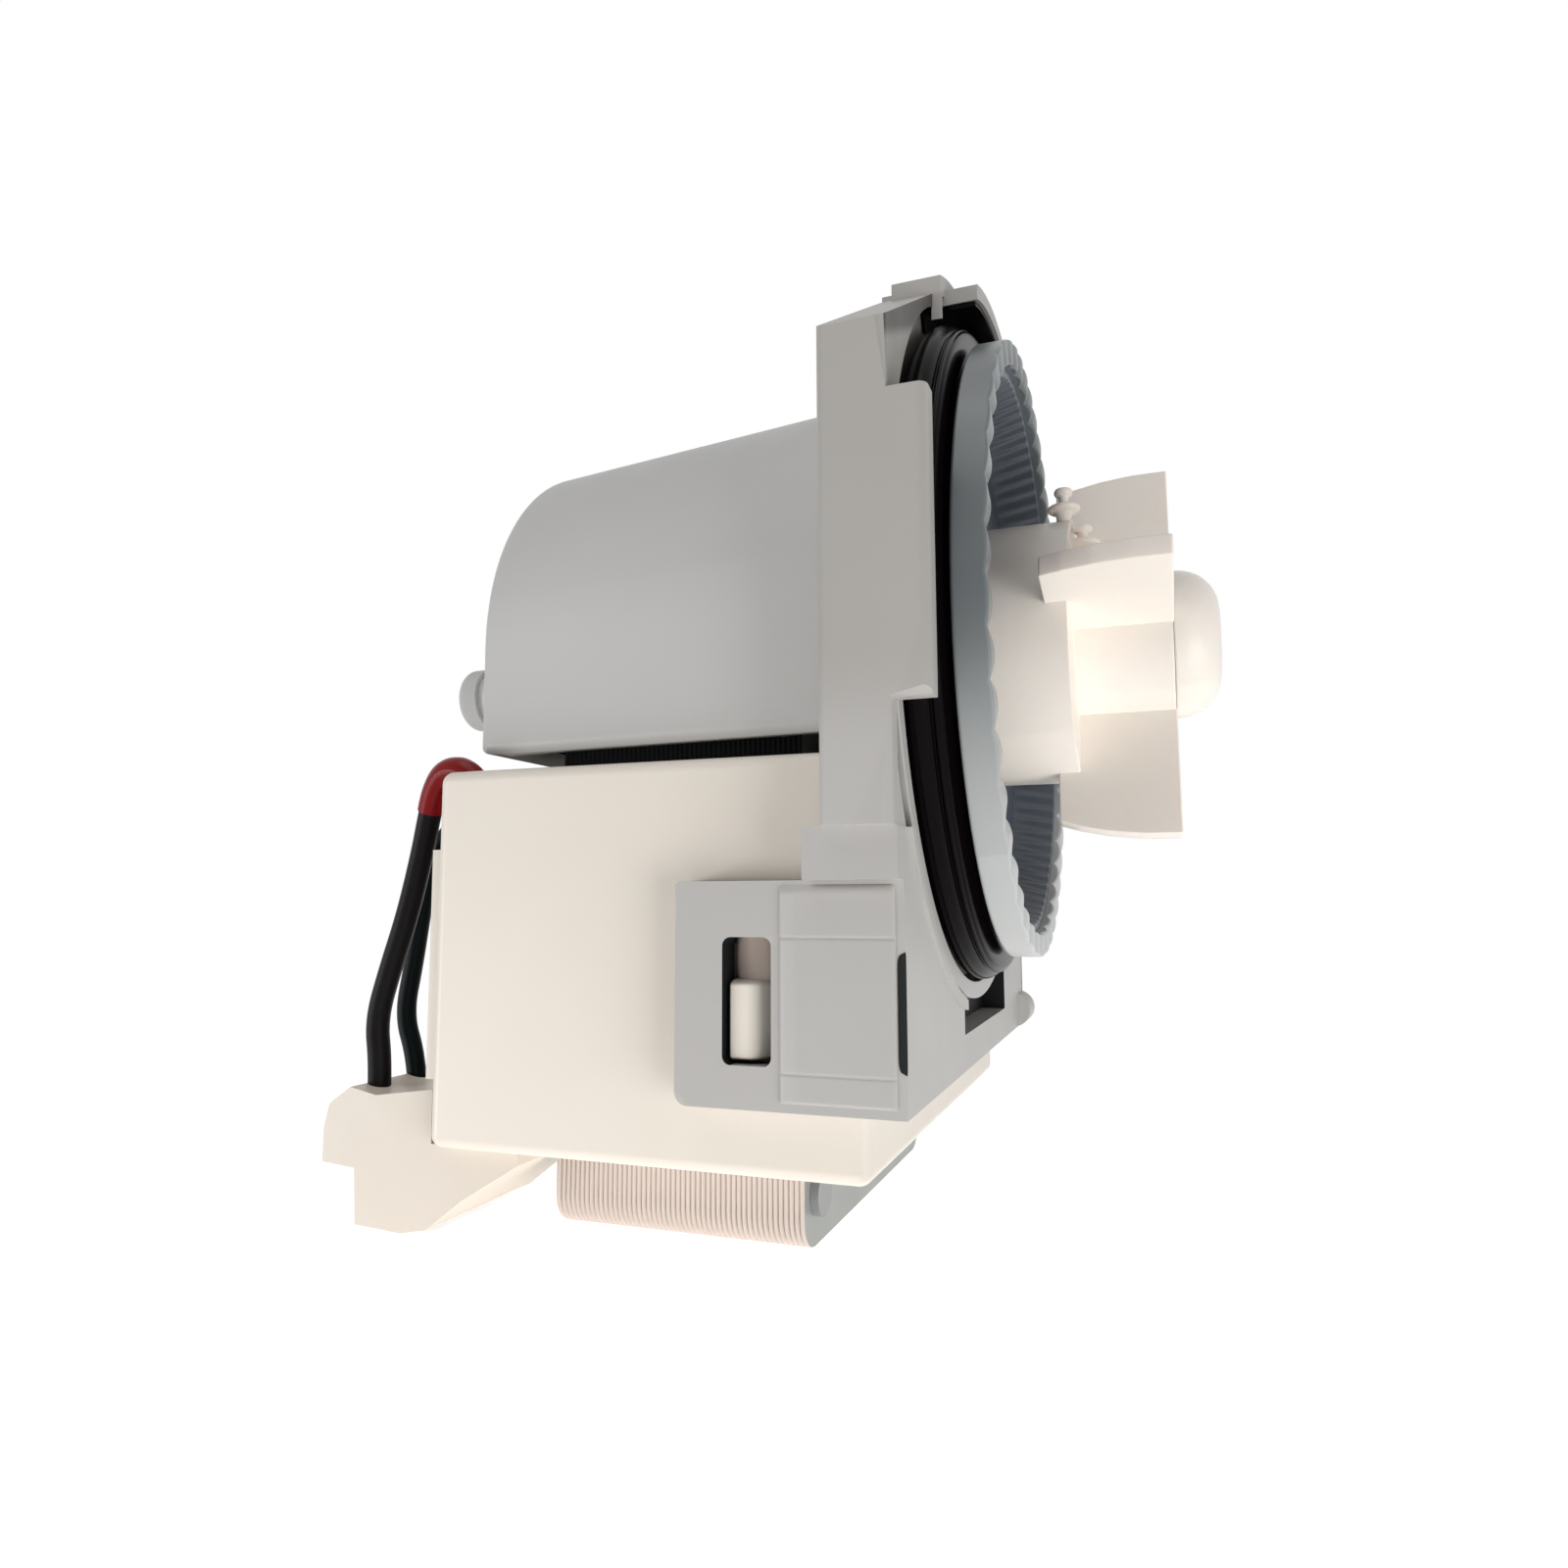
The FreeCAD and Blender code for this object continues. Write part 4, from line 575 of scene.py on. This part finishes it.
sheet = core_length / sheet_count
sheet_levels = [(core_front - core_length + sheet * (k + share), depth * sheet_groove) for k in range(sheet_count)
                for share, depth in ((0.0, 1.0), (0.24, 0.1), (0.5, 0.0), (0.76, 0.1))]
sheet_levels[0] = (core_front - core_length, end_break)
sheet_levels.append((core_front, end_break))
# Cut edges of silicon steel: warm and pale, each sheet's edge set off by a dark line, the painted shade of the groove
# between sheets.
core_steel = grained("cut edges of silicon steel", "D9CBC2", "CDC0B8", 0.42, 0.5, 0.004, recess="3A302C",
                     recess_mm=0.8)
# Rolled face of the end sheet: a flat, cool grey.
face_steel = grained("rolled silicon steel", "999D9B", "909492", 0.38, 0.5, 0.003)
pack = prism("lamination_pack", core_outline(), sheet_levels, lambda y, z, x: (x, y, z))
fit_out(pack, core_steel, "motor_body", "lamination_steel", "stator_core")
pack.data.materials.append(face_steel)
pack.data.materials.append(painted_shade)
# Painted shade: the core's sides above core_shade, under the cover, take the near black.
for face in pack.data.polygons:
    if face.center.z * 1000 > core_shade:
        face.material_index = 2
for face in pack.data.polygons[-2:]:
    face.material_index = 1
# Rivet heads: bare steel, a little darker and shinier than the sheets.
rivet_steel = grained("bare rivet steel", "8F9192", "828486", 0.35, 0.4, 0.004)
dress("core_rivets", rivet_steel)

# Bobbins, windings and the thermal cut-out. Enamelled copper wire on polyamide formers, with a phenolic
# cut-out between the two coils, all closed in the coil box.
# Natural polyamide: off-white and silky.
bobbin_plastic = grained("moulded natural polyamide", "E4E0D6", "D9D4C8", 0.45, 0.5, 0.006)
# Enamelled copper: warm red-brown under a clear gloss.
copper_enamel = grained("enamelled copper wire", "A8581F", "8C4312", 0.3, 0.3, 0.02, coat=0.5)
for end in ("near", "far"):
    dress("bobbin_" + end, bobbin_plastic)
    dress("winding_" + end, copper_enamel)
# Phenolic: black with a dull shine.
cutout_plastic = grained("black phenolic", "1C1C1E", "242426", 0.4, 0.4, 0.006)
dress("thermal_cutout", cutout_plastic)

# Coil housing. The box over the coils, moulded in glass filled polyester, and its two latch noses in the
# windows of the clips.
box_edge, box_side, box_back_in_cad, box_back_shift, latch_flat = 0.3, 30.0, -50.3, 0.6, 30.3
nose_back, nose_front, nose_end, nose_low, nose_high = -21.35, -17.3, -16.6, -38.52, -31.9
nose_rise, nose_fall, nose_bend, nose_slope, nose_run = 2.3, 1.3, (0.45, 0.5), -19.6, 2.6
bed_front, bed_low, bed_high, bed_rise, bed_half = -17.25, -32.4, -28.45, 1.1, 2.06


def trim_box(work):
    """Press the solids' latch noses flat under their rounded pads, and set the rear face back."""
    for vertex in work.verts:
        x, y, z = vertex.co * 1000
        if abs(y) > box_side + 0.05:
            vertex.co.y = math.copysign(latch_flat, y) / 1000
        if x < box_back_in_cad:
            vertex.co.x -= box_back_shift / 1000


def half_ellipse(place, middle, half):
    """1 at the middle, falling to 0 over a half ellipse that reaches half to each side."""
    return np.sqrt(np.clip(1 - ((place - middle) / half) ** 2, 0, 1))


def latch_nose(name, side):
    """Latch nose: a height field that falls off round at its left and lower edges, and slopes down to
    the front over a half cosine."""
    x, z = np.meshgrid(np.linspace(nose_back, nose_front, 44), np.linspace(nose_low, nose_high, 60), indexing="ij")
    height = nose_rise * edge_fall(x, nose_back, nose_end, nose_bend[0]) * edge_fall(
        z, nose_low, nose_high, nose_bend[1])
    slope = 0.5 - 0.5 * np.cos(np.pi * np.clip((x - nose_slope) / nose_run, 0, 1))
    height = height - nose_fall * slope * (height > 0.5)
    y = side * (box_side + np.clip(height, 0, None))
    return mesh_piece(name, np.stack([x, y, z], -1), facing(grid_faces(*x.shape), side < 0))


def latch_bed(name, side):
    """Bed above the latch nose: a shallow half round bar whose section is a half ellipse."""
    x, z = np.meshgrid(np.linspace(nose_back, bed_front, 32), np.linspace(bed_low, bed_high, 12), indexing="ij")
    y = side * (box_side + 0.02 + bed_rise * half_ellipse(x, window_middle, bed_half))
    return mesh_piece(name, np.stack([x, y, z], -1), facing(grid_faces(*x.shape), side < 0))


# Glass filled polyester: a warm cream with a silky face, with painted shade that browns its narrow recesses.
cream_polyester = grained("moulded cream polyester", "EFE7DC", "EAE1D5", 0.40, 0.4, 0.008,
                          recess="5A4C40", recess_mm=2.6)
coil_box = softened("coil_box", "coil_housing", box_edge, trim_box)
fit_out(coil_box, cream_polyester, "motor_body", "coil_cream", "coil_housing")
# The same polyester in the clip's window, on the latch beds: a copy with painted shade, beige, and near black in its
# narrowest hollows.
shaded_polyester = grained("cream polyester in the window", "D6C5BA", "C8B6AB", 0.26, 0.4, 0.006, recess="1A1313",
                           recess_mm=1.2)
for end, side in (("near", -1), ("far", 1)):
    fit_out(latch_nose("latch_nose_" + end, side), cream_polyester, "motor_body", "coil_cream")
    fit_out(latch_bed("latch_bed_" + end, side), shaded_polyester, "motor_body", "coil_cream")

# Connector block. A socket for the plug of the supply lead, moulded in cream polyester with rounder edges
# than the coil box, and hung behind it. Its two tabs are stamped brass.
block_edge, block_shift = 0.7, 0.9


def bring_up(work):
    """Bring the block's front face up to the coil box."""
    front = max(vertex.co.x for vertex in work.verts)
    for vertex in work.verts:
        if vertex.co.x > front - 1e-5:
            vertex.co.x += block_shift / 1000


plug_block = softened("plug_block", "connector_block", block_edge, bring_up)
# Polyester again, paler and a little duller than the coil box, with painted shade that browns its narrow recesses.
block_polyester = grained("moulded pale cream polyester", "E2D8CC", "DCD1C4", 0.42, 0.4, 0.008, recess="5A4C40",
                          recess_mm=2.0)
fit_out(plug_block, block_polyester, "motor_body", "connector_cream", "connector_block")
# Tinned brass: yellowish grey, smooth and bright.
tinned_brass = grained("tinned brass", "C9BE9A", "B8AC86", 0.3, 0.5, 0.003)
dress("contact_tabs", tinned_brass)

# Leads. Two short wires in glass sleeving run down behind the box to the connector block, held at both ends.
# The near one comes over the top edge in a red silicone sleeve.
near_radius, far_radius, sleeve_radius = 1.12, 1.0, 1.28


def strand(name, points, radius):
    """Round cord through the control points of a smooth curve, in millimetres."""
    curve = bpy.data.curves.new(name, "CURVE")
    curve.dimensions = "3D"
    curve.bevel_depth = radius / 1000
    curve.bevel_resolution = 6
    curve.resolution_u = 10
    curve.use_fill_caps = True
    line = curve.splines.new("NURBS")
    line.points.add(len(points) - 1)
    line.points.foreach_set("co", np.column_stack([np.array(points) / 1000, np.ones(len(points))]).ravel())
    line.order_u = 3
    line.use_endpoint_u = True
    piece = bpy.data.objects.new(name, curve)
    bpy.context.scene.collection.objects.link(piece)
    return piece


# Varnished glass sleeving: black on the near lead, black-green on the far one, with a soft long highlight.
sleeve_black = rubber("black glass sleeving", "0F0C0E", 0.34, 0.0)
sleeve_teal = rubber("dark green glass sleeving", "061113", 0.34, 0.0)
near_lead = strand("lead_near", [
    (-56.1, -25.8, -15.9), (-56.5, -25.6, -16.9), (-57.7, -25.1, -21.0), (-59.3, -25.0, -27.0),
    (-61.2, -25.0, -32.4), (-62.7, -25.0, -37.4), (-62.0, -25.0, -41.6), (-62.0, -25.0, -44.6)], near_radius)
fit_out(near_lead, sleeve_black, "motor_body", "sleeve_black", "power_lead_near")
far_lead = strand("lead_far", [
    (-53.4, -20.0, -16.6), (-57.6, -20.4, -17.4), (-60.6, -20.2, -21.4), (-61.6, -20.0, -26.4),
    (-63.0, -19.3, -32.2), (-64.3, -19.0, -37.6), (-62.6, -19.0, -41.8), (-62.3, -19.0, -44.6)], far_radius)
fit_out(far_lead, sleeve_teal, "motor_body", "sleeve_black", "power_lead_far")
# Silicone sleeving: deep red and shinier than the glass.
sleeve_red = rubber("red silicone sleeving", "820209", 0.28, 0.1)
red_sleeve = strand("sleeve_over_lead", [
    (-49.6, -27.4, -14.4), (-50.9, -27.4, -12.6), (-54.9, -26.7, -13.1), (-56.4, -25.6, -16.6)], sleeve_radius)
fit_out(red_sleeve, sleeve_red, "motor_body", "sleeve_red", "lead_sleeve_red")

# Bearings, cushions and shaft seal, all inside. Two sintered bearings sit in rubber cushions, and a rubber
# ring round the shaft keeps grit out of the front one.
# Sintered graphite: dark grey with a dull sheen.
graphite = grained("sintered graphite", "3A3A3D", "303033", 0.4, 0.3, 0.004)
# Soft rubber: black and quite matt.
cushion_rubber = rubber("soft black rubber", "1B1B1B", 0.6, 0.0)
for node, material in (("front_bearing", graphite), ("rear_bearing", graphite), ("shaft_seal", cushion_rubber),
                       ("front_bearing_cushion", cushion_rubber), ("rear_bearing_cushion", cushion_rubber)):
    dress(node, material)

# Rotor, all inside too. A ring magnet on a moulded sleeve, on a ground steel shaft with a washer at each
# bearing, and the dog on the shaft's end that turns the impeller.
# Ground steel: light and bright.
shaft_steel = grained("ground shaft steel", "B8BBC0", "AEB1B6", 0.22, 0.3, 0.002)
# Black polyamide: even, with a low sheen.
carrier_plastic = grained("moulded black polyamide", "1F1F21", "262628", 0.45, 0.4, 0.006)
# Pressed ferrite: dark brownish grey and dusty.
ferrite = grained("pressed ferrite", "3B3A3C", "333235", 0.6, 0.3, 0.01)
# Bearing plastic: white and silky.
washer_plastic = grained("white bearing plastic", "E0DED8", "D6D3CB", 0.4, 0.4, 0.004)
for node, material in (("rotor_shaft", shaft_steel), ("magnet_carrier", carrier_plastic), ("rotor_magnet", ferrite),
                       ("drive_dog", carrier_plastic), ("thrust_washers", washer_plastic)):
    dress(node, material)

# Impeller. Moulded in one in acetal with soft edges: a cup that runs in the rim, a hub, four flat blades with
# curved tips, and two small posts between two of them.
cup_back, cup_front, cup_radius, cup_wall, cup_edge = -3.9, 4.9, 13.6, 1.6, 0.3
hub_radius, hub_front, hub_wall, hub_floor, shaft_hole = 7.5, 14.1, 1.5, 0.6, 1.6
blade_count, blade_turn, blade_half, blade_edge, post_side = 4, 12.5, 1.0, 0.5, -5.0
# Natural acetal: white and a little translucent, with a soft gloss.
white_acetal = grained("moulded natural acetal", "F9F1E8", "F5ECE2", 0.30, 0.5, 0.004, subsurface=0.2)
cup_loop = rounded_loop(edged([
    (cup_back, cup_radius - cup_wall), (cup_back, cup_radius), (cup_front, cup_radius), (cup_front, hub_radius),
    (hub_front, hub_radius), (hub_front, hub_radius - hub_wall), (cup_front + hub_floor, hub_radius - hub_wall),
    (cup_front + hub_floor, shaft_hole), (cup_front - cup_wall, shaft_hole),
    (cup_front - cup_wall, cup_radius - cup_wall)], cup_edge))
cup = turned("impeller_cup", cup_loop[::-1], 160)
fit_out(cup, white_acetal, "impeller_body", "impeller_white", "impeller")
blade_loop = rounded_loop(edged([
    (2.8, 6.8), (14.2, 6.8), (14.2, 20.08), (10.8, 20.08), (7.5, 19.75), (4.8, 19.2), (2.8, 18.6)], blade_edge), 3)
blade_levels = [(-blade_half, 0.13), (-blade_half + 0.04, 0.04), (-blade_half + 0.15, 0.0),
                (blade_half - 0.15, 0.0), (blade_half - 0.04, 0.04), (blade_half, 0.13)]
for k in range(blade_count):
    turn = math.radians(blade_turn + 360 * k / blade_count)
    blade = prism("impeller_blade_%d" % k, blade_loop, blade_levels, lambda x, r, t: (
        x, r * math.sin(turn) - t * math.cos(turn), r * math.cos(turn) + t * math.sin(turn)))
    fit_out(blade, white_acetal, "impeller_body", "impeller_white")


def end_fans(count, size):
    """Triangles that close both ends of a closed grid of count by size points: from its first column to
    the point after the grid, and from its last column to the point after that."""
    step = np.arange(count) * size
    ahead = np.roll(step, -1)
    first, last = np.full(count, count * size), np.full(count, count * size + 1)
    return np.concatenate([np.stack([ahead, step, first], 1),
                           np.stack([step + size - 1, ahead + size - 1, last], 1)]).tolist()


def small_post(name, x, low, base, height, wide, count=36, rows=40):
    """Upright post on the cup, turned about its own axis: a neck with a round disc near its base and a
    smaller one near its head, where each disc adds a half ellipse of the height to the radius."""
    level = np.concatenate([[low], np.linspace(base, base + height, rows)])
    share = (level - base) / height
    radius = wide * (0.3 + 0.7 * half_ellipse(share, 0.17, 0.18) + 0.26 * half_ellipse(share, 0.84, 0.17))
    radius[-1] = 0.2 * wide
    angle = np.linspace(0, 2 * np.pi, count, endpoint=False)[:, None]
    rings = np.stack([x + radius * np.cos(angle), post_side + radius * np.sin(angle), level + 0 * angle], -1)
    points = np.concatenate([rings.reshape(-1, 3), [(x, post_side, low - 0.05), (x, post_side, level[-1] + 0.06)]])
    return mesh_piece(name, points, grid_faces(count, len(level), True, False) + end_fans(count, len(level)))


for name, x, low, base, height, wide in (("cup_post_rear", 4.2, 12.0, 13.4, 2.6, 1.65),
                                         ("cup_post_front", 5.95, 9.4, 9.6, 2.3, 1.75)):
    fit_out(small_post(name, x, low, base, height, wide), white_acetal, "impeller_body", "impeller_white")

# Hub cap. A separate rounded cap of the same acetal, whose plug is pressed into the hub's mouth and whose
# brim covers the hub's end.
cap_radius, cap_tip, cap_bend, plug_back, plug_radius = 7.45, 18.5, 4.1, 10.8, 5.9


def domed(name, profile, count):
    """Solid turned about the pump axis from a profile of X and radius, closed by a point at both ends."""
    angle = np.linspace(0, 2 * np.pi, count, endpoint=False)[:, None]
    x, radius = np.asarray(profile[1:-1], float).T
    rings = np.stack([x + 0 * angle, radius * np.sin(angle), radius * np.cos(angle)], -1).reshape(-1, 3)
    points = np.concatenate([rings, [(profile[0][0], 0, 0), (profile[-1][0], 0, 0)]])
    faces = grid_faces(count, len(x), True, False) + end_fans(count, len(x))
    return mesh_piece(name, points, facing(faces, False))


bend = np.linspace(0, np.pi / 2, 16)
dome = zip(cap_tip - cap_bend * (1 - np.sin(bend)), cap_radius - cap_bend * (1 - np.cos(bend)))
cap = domed("rounded_cap", [
    (plug_back, 0), (plug_back, plug_radius), (14.12, plug_radius), (14.13, 7.3), (14.2, 7.42), (14.3, cap_radius),
    *dome, (cap_tip, 2.0), (cap_tip, 0)], 96)
fit_out(cap, white_acetal, "impeller_body", "impeller_white", "hub_cap")

# Floor and backdrop. A matt white table on which the pump stands, and a white room round it. Both look white
# to the camera and in reflections, and give the pump only a soft, plain light.
floor_gap, floor_half, fade_near, fade_far = 0.1, 4.0, 0.09, 0.20


def seen_directly(tree):
    """1 for rays from the camera and for those that a glossy or a clear surface sends on, otherwise 0."""
    rays = add(tree, "ShaderNodeLightPath").outputs
    mirror = add(tree, "ShaderNodeMath", {"operation": "MAXIMUM"},
                 {0: rays["Is Glossy Ray"], 1: rays["Is Transmission Ray"]}).outputs[0]
    return add(tree, "ShaderNodeMath", {"operation": "MAXIMUM"}, {0: rays["Is Camera Ray"], 1: mirror}).outputs[0]


floor_level = cad_box[0][2] - floor_gap / 1000
floor_mesh = bpy.data.meshes.new("floor")
floor_mesh.from_pydata([(x * floor_half, y * floor_half, floor_level)
                        for x, y in ((-1, -1), (1, -1), (1, 1), (-1, 1))], [], [(0, 1, 2, 3)])
floor = bpy.data.objects.new("floor", floor_mesh)
bpy.context.scene.collection.objects.link(floor)
# White table: matt near the pump, where it keeps the shadow, and fading to plain white further away.
floor_white, tree = new_tree("white table")
place = add(tree, "ShaderNodeTexCoord").outputs["Object"]
away = add(tree, "ShaderNodeVectorMath", {"operation": "LENGTH"}, {0: place}).outputs["Value"]
fade = add(tree, "ShaderNodeMapRange", {"From Min": fade_near, "From Max": fade_far}, {"Value": away})
seen = seen_directly(tree)
lift = add(tree, "ShaderNodeMapRange", {"To Min": 0.12, "To Max": 0.80}, {"Value": seen})
matt = add(tree, "ShaderNodeBsdfDiffuse", {"Color": linear("F4F4F2")})
glow = add(tree, "ShaderNodeEmission", wires={"Strength": lift.outputs[0]})
lit = add(tree, "ShaderNodeAddShader", wires={0: matt.outputs[0], 1: glow.outputs[0]})
level = add(tree, "ShaderNodeMapRange", {"To Min": 0.30, "To Max": 1.0}, {"Value": seen})
plain = add(tree, "ShaderNodeEmission", wires={"Strength": level.outputs[0]})
both = add(tree, "ShaderNodeMixShader", wires={0: fade.outputs[0], 1: lit.outputs[0], 2: plain.outputs[0]})
add(tree, "ShaderNodeOutputMaterial", wires={"Surface": both.outputs[0]})
floor_mesh.materials.append(floor_white)
floor.visible_shadow = False

world = bpy.data.worlds.new("studio")
bpy.context.scene.world = world
world.use_nodes = True
tree = world.node_tree
tree.nodes.clear()
soft = add(tree, "ShaderNodeBackground", {"Color": linear("FFFFFF"), "Strength": 0.20})
white = add(tree, "ShaderNodeBackground", {"Color": linear("FFFFFF"), "Strength": 1.0})
both = add(tree, "ShaderNodeMixShader", wires={0: seen_directly(tree), 1: soft.outputs[0], 2: white.outputs[0]})
add(tree, "ShaderNodeOutputWorld", wires={"Surface": both.outputs[0]})

# Lamps. Four square soft boxes: one to the left and one to the right of the camera, one below, whose light
# the table lets through, and a large one above.
lamp_aim = Vector((-0.02, 0, -0.01))


def lamp(name, azimuth, elevation, distance, size, power):
    """Square soft box that looks at the pump. Azimuth 0 is the camera's side, 90 the impeller's."""
    light = bpy.data.lights.new(name, "AREA")
    light.shape = "SQUARE"
    light.size = size
    light.energy = power
    item = bpy.data.objects.new(name, light)
    bpy.context.scene.collection.objects.link(item)
    across, up = math.radians(azimuth), math.radians(elevation)
    away = Vector((math.sin(across) * math.cos(up), -math.cos(across) * math.cos(up), math.sin(up)))
    item.rotation_euler = away.to_track_quat("Z", "Y").to_euler()
    item.location = lamp_aim + away * distance


lamp("left_box", -52, -12, 0.45, 0.15, 0.72)
lamp("right_box", 56, -20, 0.27, 0.16, 0.40)
lamp("low_box", 30, -62, 0.34, 0.24, 0.52)
lamp("top_box", -20, 70, 0.70, 0.50, 1.2)

# Camera, as it stood for the photograph: turned towards the motor, looking up a little from below the axis,
# with a focal length of 1064 pixels in a frame of 1600.
turn, lift, roll = math.radians(20.08), math.radians(6.22), math.radians(-0.21)
focal_pixels, frame_pixels, camera_place = 1063.9, 1600, (0.01256, -0.1112, -0.02536)
ahead = Vector((-math.sin(turn) * math.cos(lift), math.cos(turn) * math.cos(lift), math.sin(lift)))
level = Vector((math.cos(turn), math.sin(turn), 0))
upward = level.cross(ahead)
right = level * math.cos(roll) + upward * math.sin(roll)
over = upward * math.cos(roll) - level * math.sin(roll)
camera = bpy.data.cameras.new("camera")
camera.sensor_fit = "HORIZONTAL"
camera.sensor_width = 36
camera.lens = camera.sensor_width * focal_pixels / frame_pixels
camera.clip_start = 0.002
viewer = bpy.data.objects.new("camera", camera)
bpy.context.scene.collection.objects.link(viewer)
viewer.matrix_world = Matrix.Translation(camera_place) @ Matrix((right, over, -ahead)).transposed().to_4x4()
bpy.context.scene.camera = viewer
bpy.context.scene.view_settings.view_transform = "Standard"
